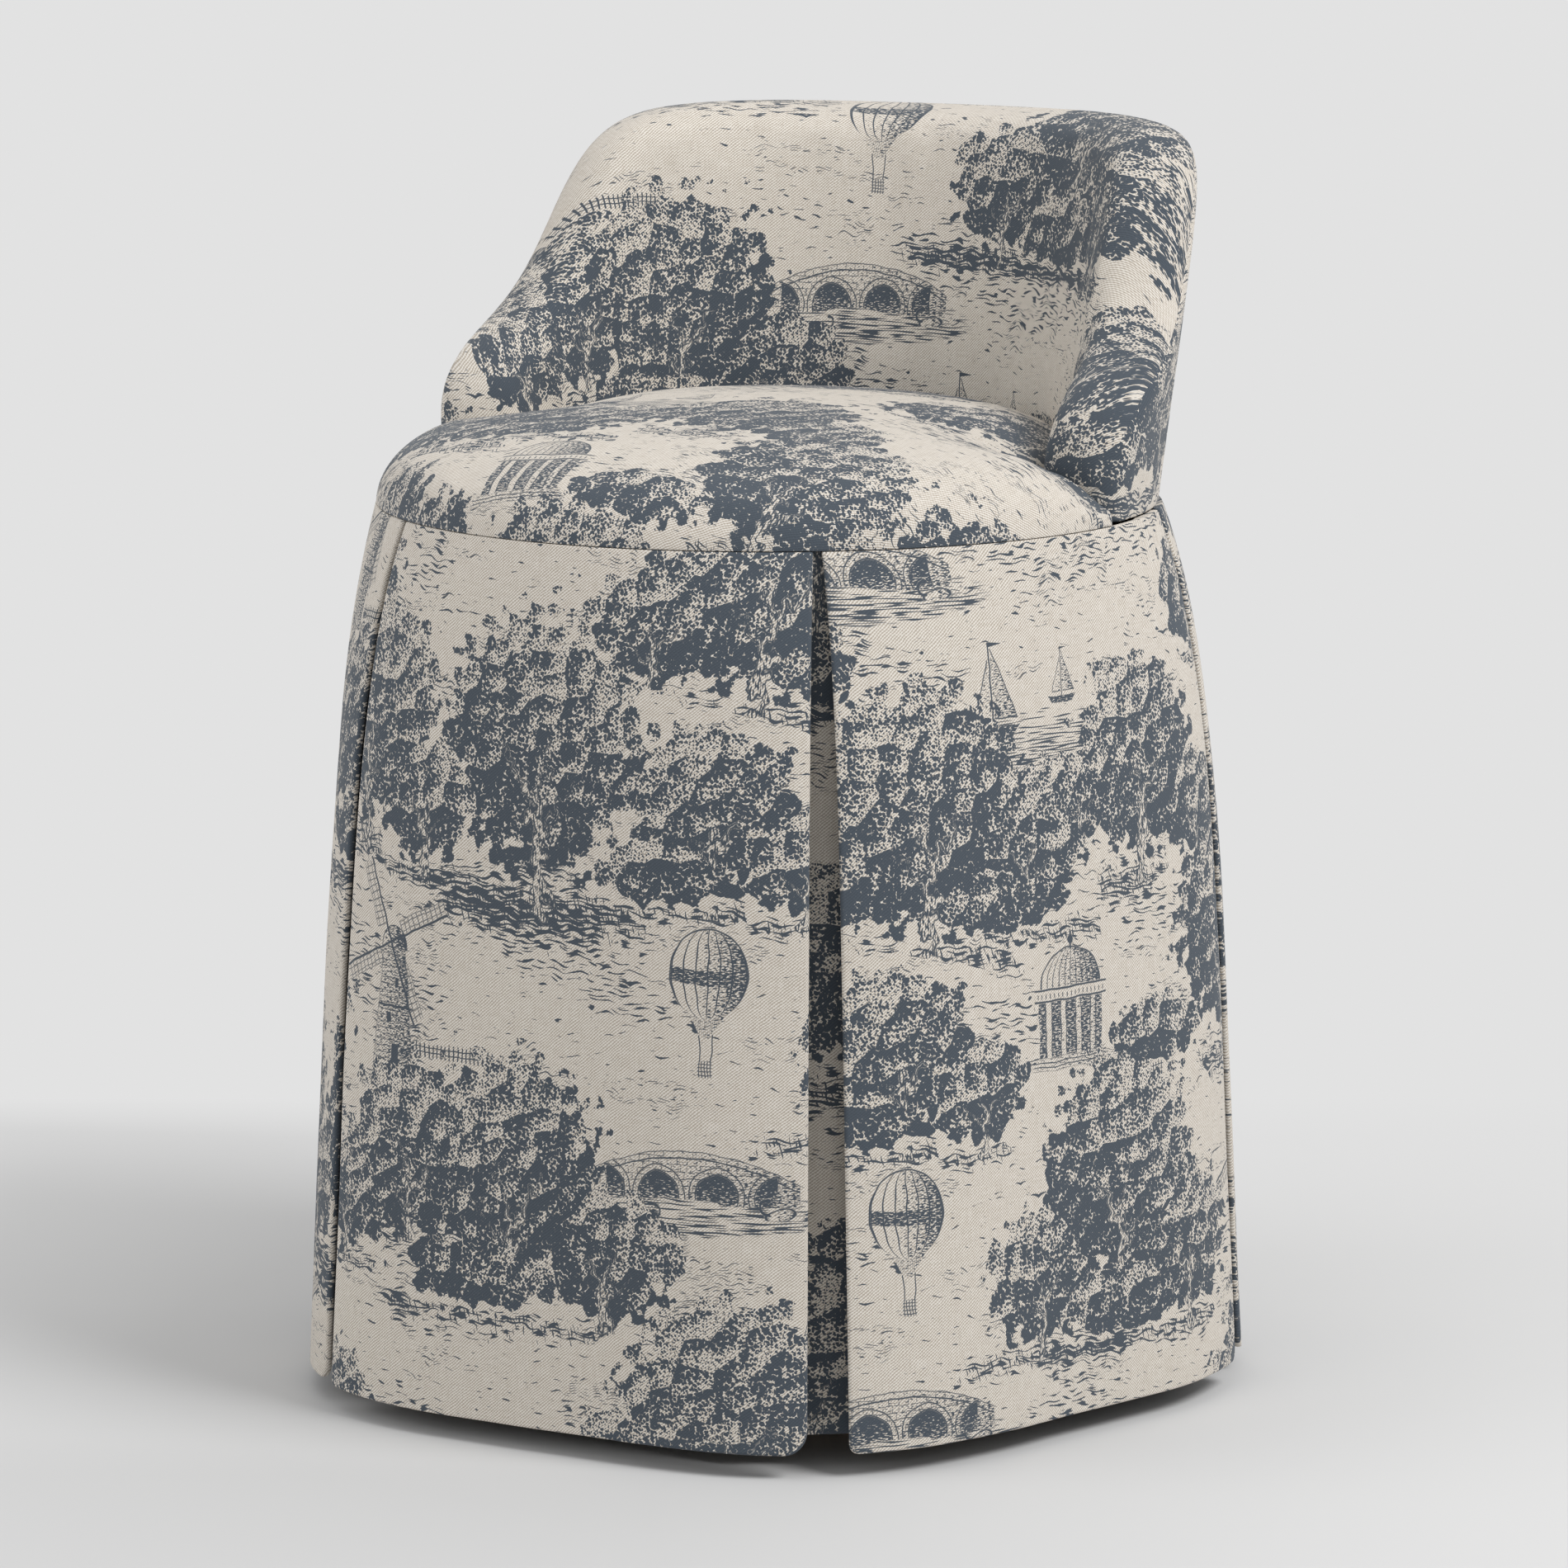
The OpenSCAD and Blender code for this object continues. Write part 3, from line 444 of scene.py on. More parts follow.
# the outer back's gaps at its seams, its inner face's depth and the round of its edges
OUTER_GAP_A, OUTER_GAP_Z, OUTER_DEPTH, OUTER_ROUND = 0.1, 0.35, 1.6, 1.2


def back_angles():
    half = list(np.arange(0, 44, 2.6)) + list(np.arange(45, SEAM_A - 0.6, 1.1))
    half += [SEAM_A - SEAM_HALF, SEAM_A + SEAM_HALF]
    half += list(np.arange(SEAM_A + 1.2, FRAME_END - 0.5, 1.3)) + [FRAME_END, FRAME_END + 0.25]
    half += [END_A + (HALF_A - END_A) * sin(radians(t))
             for t in (0, 12, 24, 36, 48, 60, 72, 82, 90)]
    return [-a for a in half[:0:-1]] + half


def back_section(a):
    """Round a section of the padded back: (depth inside the outer face, height) points."""
    draw = end_draw(a)
    half = BACK_T / 2 - draw
    z_roll = max(PAD_FOOT_Z + 4, edge_z(a, ROLL_H))
    pts = [(BACK_T - draw, PAD_FOOT_Z + (z_roll - PAD_FOOT_Z) * i / INNER_STEPS)
           for i in range(INNER_STEPS + 1)]
    for i in range(1, ROLL_STEPS):
        t = radians(180 * i / ROLL_STEPS)
        c = cos(t)
        across = copysign(abs(c) ** ROLL_POWER, c)
        up = sin(t) ** ROLL_POWER
        pts.append((BACK_T / 2 + half * across, edge_z(a, ROLL_H * (1 - up))))
    foot = max(CLOTH_FOOT_Z, edge_z(a, SEAM_INSET)) if abs(a) < SEAM_A else CLOTH_FOOT_Z
    brow = max(foot + 1.5, edge_z(a, ROLL_H))
    pts += [(draw, brow + (foot + 1.2 - brow) * i / OUTER_STEPS) for i in range(OUTER_STEPS + 1)]
    pts += [(draw + 0.5, foot + 0.35), (draw + CLOTH_T, foot)]
    z_lip = edge_z(a, RIM_INSET) + GAP
    if abs(a) <= FRAME_END + 0.01:
        pts += [(draw + CLOTH_T, max(foot, z_lip)), (FOAM_DEPTH, z_lip), (FOAM_DEPTH, PAD_FOOT_Z)]
    else:
        pts += [(draw + 2, foot), (22, CLOTH_FOOT_Z), (22.1, PAD_FOOT_Z)]
    return pts


def back_cushion():
    """The cloth goes up the inner face and over the roll. Round the arms' fronts it lies upright
    and turns to the outer face, and it is cut along the outer shoulder."""
    rows, uvs, ends, caps = [], [], [], []
    shoulder = INNER_STEPS + ROLL_STEPS - BEHIND
    front = END_A * arc(BACK_UV_R) + ARM_R * pi / 2
    for a in back_angles():
        pts = back_section(a)
        side = copysign(1, a)
        rows.append([back_pt(wall_r(z) - d, a, z) for d, z in pts])
        turned = ARM_R * asin(min(1, max(0, (abs(a) - END_A) / (HALF_A - END_A))))
        along = min(abs(a), END_A) * arc(BACK_UV_R) + turned
        upright = smooth_step((abs(a) - NOSE_A) / UPRIGHT_A)
        face_d = pts[0][0]
        inner, run = [], pts[0][1]
        for i, (d, z) in enumerate(pts):
            if i:
                run += hypot(d - pts[i - 1][0], z - pts[i - 1][1])
            inner.append((side * (along + upright * (face_d - d)), run + upright * (z - run)))
        around = front + BACK_T - 2 * ARM_R + ARM_R * pi / 2 - turned
        around += max(0, END_A - abs(a)) * arc(SEAT_R)
        outer = [(side * around, z) for d, z in pts]
        uvs.append(inner[:shoulder + 1] + outer[shoulder + 1:])
        uvs[-1].append(uvs[-1][0])
        ends.append(inner[1:shoulder + 2] + outer[shoulder + 2:] + outer[-1:])
        caps.append([(side * (front + BACK_T - ARM_R - d), z) for d, z in pts])
    obj = outward(loft("back_cushion", rows, uvs, ends, (caps[0], caps[-1])))
    m = len(rows[0])
    seam = INNER_STEPS + ROLL_STEPS + OUTER_STEPS
    pins = [i * m + j for i in range(len(rows)) for j in range(m) if j < 3 or j > seam - 1]
    return obj, pins


def outer_back_panel():
    """The stretched cloth between the side seams."""
    last = SEAM_A - SEAM_HALF - OUTER_GAP_A
    angles = [last - d for d in (0, 0.12, 0.35, 0.8)] + list(np.arange(0, 60.5, 1.5))[::-1]
    angles = [-a for a in angles[:-1]] + angles[::-1]
    rows, uvs = [], []
    for a in angles:
        near = (last - abs(a)) * arc(SEAT_R)
        t = CLOTH_T
        if near <= OUTER_ROUND:
            t = max(0.5, CLOTH_T * sqrt(1 - (1 - near / OUTER_ROUND) ** 2))
        inset = OUTER_DEPTH - t
        z1 = max(CLOTH_FOOT_Z + 2, edge_z(a, SEAM_INSET) - OUTER_GAP_Z)
        zs = [CLOTH_FOOT_Z + (z1 - OUTER_ROUND - CLOTH_FOOT_Z) * i / PANEL_ROWS
              for i in range(PANEL_ROWS + 1)]
        row = [(inset, z) for z in zs] + [(inset + 0.35, z1 - 0.4), (inset + t * 0.6, z1)]
        row += [(OUTER_DEPTH, z) for z in [z1] + zs[::-1]]
        rows.append([back_pt(wall_r(z) - d, a, z) for d, z in row])
        uv = [(a * arc(OUTER_UV_R), z + d * 0.2) for d, z in row]
        uvs.append(uv + [uv[0]])
    return outward(loft("outer_back_panel", rows, uvs))


# Dust cover

RAIL_FOOT_Z, DUST_R, DUST_T, DUST_SAG = 380, 189.5, 0.8, 3.5
LEG_W, LEG_MID_R, LEG_GAP = 38, 142.6, 1.2


def dust_sheet():
    """Thin cloth under the rail, cut round the legs and sagging a little in the middle."""
    hole, r0 = LEG_W / 2 + LEG_GAP, LEG_MID_R - LEG_W / 2 - LEG_GAP
    foot = RAIL_FOOT_Z - 1.1
    radii = [14, 30, 48, 66, 84, 100, 112, r0, 130, 141, 152, 163, 172, 180, 186, DUST_R]
    cols = []
    for leg in (45, 135, 225, 315):
        cols += [(leg, s / 4, None) for s in (-4, -2, 0, 2, 4)]
        cols += [(leg, None, s / 8) for s in range(1, 8)]
    verts, faces = [], []
    for face in (0, 1):
        for leg, s, between in cols:
            for r in radii:
                side = degrees(asin(hole / max(r, r0)))
                a = leg + side * s if s is not None else leg + side + (90 - 2 * side) * between
                uneven = 1 + 0.12 * sin(radians(3 * a + 40))
                sag = DUST_SAG * (1 - (r / DUST_R) ** 2) * uneven
                verts.append(front_pt(r, a, foot + DUST_T * face - sag))
    n, m = len(cols), len(radii)
    middle = (len(verts), len(verts) + 1)
    verts += [(0, 0, foot - DUST_SAG), (0, 0, RAIL_FOOT_Z - GAP - DUST_SAG)]
    solid = lambda i, j: not (j >= radii.index(r0) and cols[i][1] is not None and cols[i][1] < 1)
    edges = {}
    for i in range(n):
        k = (i + 1) % n
        for j in range(-1, m - 1):
            if not solid(i, j):
                continue
            for face in (0, 1):
                p, q = face * n * m + i * m + j, face * n * m + k * m + j
                quad = [middle[face], p + 1, q + 1] if j < 0 else [p, p + 1, q + 1, q]
                if face == 0:
                    for p, q in zip(quad, quad[1:] + quad[:1]):
                        edges[(p, q)] = 1
                faces.append(quad if face == 0 else quad[::-1])
    top = lambda v: middle[1] if v == middle[0] else v + n * m
    for p, q in edges:
        if (q, p) not in edges:
            faces.append([q, p, top(p), top(q)])
    flat = [(verts[v][0], verts[v][1]) for f in faces for v in f]
    return outward(make("dust_sheet", verts, faces, flat))


SWELL_CAP, SWELL_PRESSURE, SWELL_FRAMES = 3.0, 3, 20


def swell(obj, pins):
    """Cloth under pressure from inside, held along its pinned points, then capped and applied."""
    group = obj.vertex_groups.new(name="held")
    group.add(pins, 1.0, "REPLACE")
    cloth = obj.modifiers.new("cloth", "CLOTH")
    cfg = cloth.settings
    cfg.quality, cfg.mass = 6, 0.3
    cfg.tension_stiffness = cfg.compression_stiffness = 40
    cfg.shear_stiffness, cfg.bending_stiffness = 20, 2
    cfg.use_pressure, cfg.uniform_pressure_force = True, SWELL_PRESSURE
    cfg.vertex_group_mass = "held"
    cfg.effector_weights.gravity = 0
    cloth.collision_settings.use_self_collision = False
    cloth.collision_settings.use_collision = False
    cloth.point_cache.frame_start, cloth.point_cache.frame_end = 1, SWELL_FRAMES
    for f in range(1, SWELL_FRAMES + 1):
        scene.frame_set(f)
    before = np.empty(len(obj.data.vertices) * 3)
    obj.data.vertices.foreach_get("co", before)
    after = np.empty_like(before)
    shaped = obj.evaluated_get(bpy.context.evaluated_depsgraph_get())
    shaped.data.vertices.foreach_get("co", after)
    move = (after - before).reshape(-1, 3)
    dist = np.linalg.norm(move, axis=1, keepdims=True)
    cap = SWELL_CAP * MM
    move *= np.where(dist > 1e-9, cap * np.tanh(dist / cap) / np.maximum(dist, 1e-9), 0)
    obj.modifiers.remove(cloth)
    obj.vertex_groups.remove(group)
    obj.data.vertices.foreach_set("co", (before.reshape(-1, 3) + move).ravel())
    obj.data.update()
    scene.frame_set(1)


# Shaders


class Sum:
    """A socket to reckon with: each operation makes one node in the current tree."""

    tree = None

    def __init__(self, socket):
        self.socket = socket

    def __neg__(self):
        return op("MULTIPLY", self, -1)

    def __lt__(self, o):
        return op("LESS_THAN", self, o)

    def __gt__(self, o):
        return op("GREATER_THAN", self, o)


for method, kind in (("add", "ADD"), ("sub", "SUBTRACT"), ("mul", "MULTIPLY"),
                     ("truediv", "DIVIDE")):
    setattr(Sum, f"__{method}__", lambda self, o, kind=kind: op(kind, self, o))
    setattr(Sum, f"__r{method}__", lambda self, o, kind=kind: op(kind, o, self))


def feed(socket, value):
    if isinstance(value, Sum):
        value = value.socket
    if isinstance(value, bpy.types.NodeSocket):
        Sum.tree.links.new(value, socket)
    else:
        socket.default_value = value


def node(kind, *values, **settings):
    n = Sum.tree.nodes.new("ShaderNode" + kind)
    for key, value in settings.items():
        setattr(n, key, value)
    for socket, value in zip(n.inputs, values):
        feed(socket, value)
    return n


def feed_all(n, values):
    for key, value in values.items():
        feed(n.inputs[key], value)


def op(kind, *args, clamp=False):
    return Sum(node("Math", *args, operation=kind, use_clamp=clamp).outputs[0])


def low(a, *others):
    for b in others:
        a = op("MINIMUM", a, b)
    return a


def high(a, *others):
    for b in others:
        a = op("MAXIMUM", a, b)
    return a


def size(a):
    return op("ABSOLUTE", a)


def clip(a):
    return op("ADD", a, 0, clamp=True)


def length(x, y):
    return op("SQRT", op("MULTIPLY_ADD", x, x, y * y))


def pick(a, b, f):
    """a where f is 0, b where f is 1."""
    return op("MULTIPLY_ADD", b - a, f, a)


def edge(a, at, soft=0.2):
    """1 where a is well under at, 0 where it is over."""
    n = node("MapRange", a, at - soft, at + soft, 1.0, 0.0, interpolation_type="SMOOTHSTEP")
    return Sum(n.outputs["Result"])


def within(a, half, soft=0.2):
    """1 where a is nearer to 0 than half."""
    return edge(size(a), half, soft)


def vec(x, y, z=0.0):
    return node("CombineXYZ", x, y, z).outputs[0]


def parts(vector, count=2):
    return [Sum(out) for out in node("SeparateXYZ", vector).outputs[:count]]


def noise(vector, scale, detail=0.0, space="2D", distortion=0.0):
    n = node("TexNoise", vector, noise_dimensions=space)
    feed_all(n, {"Scale": scale, "Detail": detail, "Distortion": distortion})
    return Sum(n.outputs["Fac"])


def cells(vector, scale):
    """Distance to the nearest of scattered spots, and that spot's place."""
    n = node("TexVoronoi", vector, voronoi_dimensions="2D")
    feed(n.inputs["Scale"], scale)
    return Sum(n.outputs["Distance"]), n.outputs["Position"]


def vmath(kind, *args):
    n = node("VectorMath", *args, operation=kind)
    return n.outputs["Value" if kind == "DOT_PRODUCT" else "Vector"]


def choose(a, b, f):
    n = node("Mix", f, data_type="VECTOR")
    feed_all(n, {4: a, 5: b})
    return n.outputs[1]


def blend(f, a, b):
    return node("MixShader", f, a, b).outputs[0]


# The print: trees, ground, water and small buildings on one tile

TILE_W, TILE_H = 470.0, 420.0
# middle, foot, size and width of each tree. The first HEDGES of them have no trunk
HEDGES = 5
TREES = [
    (128, 300, 15, 2.6), (330, 320, 16, 2.4), (215, -18, 16, 3.0), (20, 88, 17, 3.0),
    (300, 186, 18, 3.2), (52, 300, 60, 1.0), (150, 304, 37, 1.1), (300, 203, 56, 1.02),
    (236, 190, 30, 1.3), (352, 188, 33, 1.2), (34, 94, 54, 1.05), (97, 86, 31, 1.3),
    (168, -22, 56, 1.08), (234, -16, 35, 1.15), (112, -14, 26, 1.4), (402, 320, 52, 1.0),
    (440, 112, 42, 1.1), (392, 104, 25, 1.4), (320, 4, 46, 1.05), (374, -2, 26, 1.4),
    (272, 22, 19, 1.4), (450, 308, 28, 1.3), (197, 296, 23, 1.4)]


def place(flat, cx, cy, kx, ky, oy=0.0, oz=0.0):
    """The point about a place on the tile, in its nearest repeat, scaled and shifted."""
    far_corner = (cx + TILE_W / 2, cy + TILE_H / 2, 1.0)
    near_corner = (cx - TILE_W / 2, cy - TILE_H / 2, -1.0)
    near = vmath("WRAP", flat, far_corner, near_corner)
    return vmath("MULTIPLY_ADD", near, (kx, ky, 0.0), (-cx * kx, oy - cy * ky, oz))


def nearest(places):
    """The least squared distance from 0 among points, and that point."""
    best = at = None
    for q in places:
        r = Sum(vmath("DOT_PRODUCT", q, q))
        if best is None:
            best, at = r, q
        else:
            best, at = low(r, best), choose(at, q, r < best)
    return best, at


def segment(x, y, x0, y0, x1, y1):
    """Distance from a line between two places, and how far along it."""
    dx, dy = x1 - x0, y1 - y0
    k = 1 / (dx * dx + dy * dy)
    across = op("MULTIPLY_ADD", y, dy * k, -(x0 * dx + y0 * dy) * k)
    t = op("MULTIPLY_ADD", x, dx * k, across, clamp=True)
    return length(op("MULTIPLY_ADD", t, -dx, x - x0), op("MULTIPLY_ADD", t, -dy, y - y0)), t


def band(a, lo, hi, soft=0.3):
    """1 where a is between lo and hi."""
    return within(a - (lo + hi) / 2, (hi - lo) / 2, soft)


def lines(a, pitch, thick, soft=0.16):
    """Lines across a at a pitch: 1 on a line."""
    return edge(op("PINGPONG", a, pitch / 2), thick / 2, soft)


def hatch(streak, level):
    return edge(streak, level, 0.03)


def over(ink, mask, top):
    """Ink with a form laid over it: top is its own ink."""
    return pick(ink, top, mask)


# a crown's middle height and squash, the step of z that tells the trees apart, and their shift of
# the noise in millimetres
TREE_MID, SQUASH, SEED, SEED_MM = 1.22, 0.95, 0.0005, 17


def trees(flat):
    """The nearest tree: distance from its crown's middle, the point in shares of its size, its
    shift of the noise, and whether it has a trunk."""
    best, at = nearest(
        place(flat, cx, cy, (1 if i % 2 else -1) / s / wide, SQUASH / s, -TREE_MID, i * SEED)
        for i, (cx, cy, s, wide) in enumerate(TREES))
    x, y, z = parts(at, 3)
    y = y * (1 / SQUASH) + TREE_MID / SQUASH
    return op("SQRT", best), x, y, z * (SEED_MM / SEED), z > (HEDGES - 0.5) * SEED


def birds(flat):
    _, at = nearest(place(flat, cx, cy, (1 if i % 2 else -1) / s, 1 / s)
                    for i, (cx, cy, s) in enumerate(BIRDS))
    x, y = parts(at)
    x = size(x)
    return within(y - x * 0.55 + x * x * 0.07, 0.75 - x * 0.12, 0.15) * edge(x, 5)


def windmill(x, y, streak):
    half = 12.5 - y * 0.1
    body = band(y, 0, 50) * within(x, half, 0.3)
    rim = within(size(x) - half, 0.35) * band(y, 0, 50)
    door = band(y, 0.5, 9) * within(x - 1.5, 2.3)
    window = within(y - 20, 2.2) * within(x + 2.5, 1.3)
    window = high(window, within(y - 35, 1.9) * within(x - 2, 1.1))
    shade = hatch(streak, 0.475 + x * 0.0075)
    brick = lines(y, 2.6, 0.35) * edge(x, 5, 3)
    gallery = within(y - 25, 0.5) * within(x, half + 2.5, 0.3)
    r = length(x * 1.05, y - 50)
    cap = edge(r, 9.2, 0.3) * (1 - edge(y, 49.5, 0.3))
    cap_ink = high(hatch(streak, 0.52 + x * 0.02), within(r - 9, 0.4))
    p0, q0 = x + 2.0, y - 52
    c, s = cos(0.42), sin(0.42)
    p, q = p0 * c + q0 * s, q0 * c - p0 * s
    f = size(q) > size(p)
    p, q = pick(p, q, f), pick(q, -p, f)
    f = p < 0
    p, q = pick(p, -p, f), pick(q, -q, f)
    arm = within(q, 0.55) * band(p, 0, 37)
    frame_in = band(p, 8, 36) * band(q, 0.4, 6.6)
    lattice = high(lines(p, 2.8, 0.5), lines(q + 0.7, 2.8, 0.4), within(q - 6.5, 0.3)) * frame_in
    ink = high(rim, door, window, shade, brick * 0.9)
    out = over(0.0, body, ink)
    out = over(out, cap, cap_ink)
    out = high(out, gallery, arm, lattice)
    return out, high(body, cap, arm, frame_in * 0.85)


def temple(x, y, streak):
    steps = band(y, 0, 5) * within(x, 23 - op("FLOOR", y * 0.6) * 1.3)
    steps_ink = high(lines(y, 1.67, 0.45), hatch(streak, 0.4 + x * 0.004))
    room = band(y, 5, 27) * within(x, 18)
    xm = size(op("PINGPONG", x + 4.2, 4.2))
    post = edge(xm, 1.75, 0.15)
    back = hatch(streak, 0.58)
    col_ink = high(within(xm - 1.6, 0.3, 0.15), hatch(streak, 0.34 + x * 0.006))
    room_ink = over(back, post, col_ink)
    beam = band(y, 26.5, 32) * within(x, 20.5)
    beam_ink = high(within(y - 27, 0.4), within(y - 31.5, 0.45),
                    lines(x, 2.3, 0.5) * band(y, 28, 29.8))
    r = length(x, (y - 32) * 1.12)
    dome = edge(r, 17, 0.25) * (1 - edge(y, 32))
    rib = lines(x * 18 / high(op("SQRT", high(300 - (y - 32) * (y - 32) * 1.25, 4)), 3), 3.4, 0.55)
    dome_ink = high(within(r - 16.7, 0.4), rib * 0.9, hatch(streak, 0.42 + x * 0.012))
    top = high(within(x, 0.6) * band(y, 46, 53), edge(length(x, y - 49.5), 1.7))
    ink = over(over(0.0, steps, steps_ink), room, room_ink)
    ink = over(over(ink, beam, beam_ink), dome, dome_ink)
    return high(ink, top), high(steps, room, beam, dome, top)


def bridge(x, y, streak):
    crest = 21 - x * x * 0.0052
    body = within(x, 50, 0.3) * band(y - crest + 21, 0, 21)
    xm = op("PINGPONG", x + 13.5, 13.5)
    r = length(xm, y - 1.5)
    arch = edge(r, 9.6, 0.25) * within(x, 40)
    ring = high(within(r - 9.9, 0.3, 0.15), within(r - 12.6, 0.28, 0.15)) * within(x, 41)
    row = op("FLOOR", y * 0.34)
    joints = high(lines(y, 2.94, 0.4), lines(x + row * 1.9, 4.6, 0.4)) * edge(streak, 0.56, 0.05)
    rail = high(within(y - crest, 0.5), within(y - crest + 3.3, 0.35))
    ink = high(joints, rail, ring, hatch(streak, 0.36 + x * 0.002 - (y - 10) * 0.004))
    under = hatch(streak, 0.62 + (y - 2) * 0.02)
    return over(over(0.0, body, ink), arch * edge(y, 14, 0.3), under), body


def boat(x, y, streak):
    hull = band(y, -3.2, 1.6) * edge(size(x) - (y + 3.2) * 0.9, 9.5, 0.3)
    mast = within(x - 0.5, 0.4, 0.15) * band(y, 0, 33)
    main = edge((y - 4) * 0.42 + x - 0.5, 12.5, 0.25) * band(y, 4, 31) * (1 - edge(x, 1.2))
    jib = edge((y - 4) * 0.36 - x, 9.0, 0.25) * band(y, 4, 27) * edge(x, -0.4)
    sail = high(main, jib)
    sail_ink = high(within((y - 4) * 0.42 + x - 12.8, 0.35), within(y - 4.3, 0.35),
                    within((y - 4) * 0.36 - x - 8.7, 0.35), hatch(streak, 0.4 + x * 0.012))
    pennant = within(y - 32.2 - (x - 0.5) * 0.1, 0.9 - (x - 0.5) * 0.12, 0.15) * band(x, 0.5, 7)
    ink = high(over(0.0, sail, sail_ink), mast, hull * edge(streak, 0.66, 0.04), pennant)
    return ink, high(sail, hull, mast, pennant)


def fence(x, y, streak):
    top = 5.2 + (streak - 0.5) * 5
    inside = band(y, -1, 8) * within(x, 26, 0.3)
    post = edge(op("PINGPONG", x, 1.35), 0.42, 0.14) * edge(y - top, 1.2, 0.3)
    rails = high(within(y - 1.6, 0.3, 0.15), within(y - 4.2, 0.3, 0.15))
    return high(post, rails) * inside, inside * edge(y - top, 1.2, 0.3)


def balloon(x, y, streak):
    r = length(x, (y - 42) * 0.92)
    neck = edge(size(x) - (y - 14) * 0.62, 1.5, 0.3) * band(y, 14, 32)
    ball = high(edge(r, 18, 0.3), neck)
    rib = lines(x * 20 / high(op("SQRT", high(330 - (y - 42) * (y - 42) * 0.8, 9)), 3), 6.2, 0.8)
    rim = within(r - 17.7, 0.45) * (1 - edge(y, 30, 2))
    belt = within(y - 40 - x * x * 0.006, 3.2)
    ball_ink = high(rib, rim, hatch(streak, 0.38 + x * 0.014), belt * edge(streak, 0.6, 0.04))
    ropes = within(size(x) - 2.4 - (y - 5) * 0.07, 0.3, 0.15) * band(y, 4, 16)
    basket = band(y, -2.5, 4.5) * within(x, 3.4)
    weave = high(lines(x, 1.3, 0.45), lines(y, 1.5, 0.4))
    ink = over(over(0.0, ball, ball_ink), basket, weave)
    return high(ink, ropes), high(ball, basket, ropes)


def swan(x, y, streak):
    r = length(x * 0.42, y - 1.6 - x * 0.12)
    body = edge(r, 2.7, 0.15) * (1 - edge(y, -0.2))
    neck = within(length(x + 5.2, y - 4.6) - 2.6, 0.6, 0.15) * edge(x, -4.2, 0.3)
    head = edge(length(x + 4.8, (y - 7.3) * 1.3), 1.15, 0.15)
    rim = within(r - 2.5, 0.3, 0.15)
    ink = over(0.0, body, high(rim, hatch(streak, 0.42 + x * 0.02)))
    return high(ink, neck, head), high(body, neck, head)


# form, place, scale, and the half width, middle height and half height of its field
BUILDINGS = [
    (windmill, 428, 206, 1.2, 46, 48, 52), (temple, 262, 330, 1.3, 25, 26, 30),
    (bridge, 142, 158, 1.15, 52, 12, 14), (balloon, 150, 222, 1.15, 20, 29, 34),
    (boat, 214, 84, 1.3, 14, 15, 20), (boat, 262, 96, 0.75, 14, 15, 20),
    (fence, 470, 214, 1.0, 27, 3, 6), (fence, 310, 318, 0.9, 27, 3, 6),
    (swan, 190, 150, 1.3, 8, 4, 6), (swan, 120, 146, -1.0, 8, 4, 6)]
BIRDS = [(108, 262, 1.3), (92, 270, 0.9), (235, 268, 1.2), (60, 196, 1.1), (352, 118, 1.2),
         (338, 128, 0.8), (400, 40, 1.1), (300, 306, 0.9), (222, 276, 0.8)]
LAKES = [(230, 78, 76, 13), (146, 152, 72, 12)]


# a tree's trunk and branches, in shares of its size: two ends, and the half width at each
BRANCHES = ((0.02, -0.12, -0.05, 0.75, 0.075, 0.05), (-0.05, 0.72, -0.42, 1.25, 0.045, 0.012),
            (-0.05, 0.75, 0.12, 1.6, 0.045, 0.01), (-0.02, 0.5, 0.42, 1.1, 0.035, 0.01))


def outside_branches(x, y):
    found = []
    for x0, y0, x1, y1, w0, w1 in BRANCHES:
        d, t = segment(x, y, x0, y0, x1, y1)
        found.append(d - w0 - t * (w1 - w0))
    return low(*found)


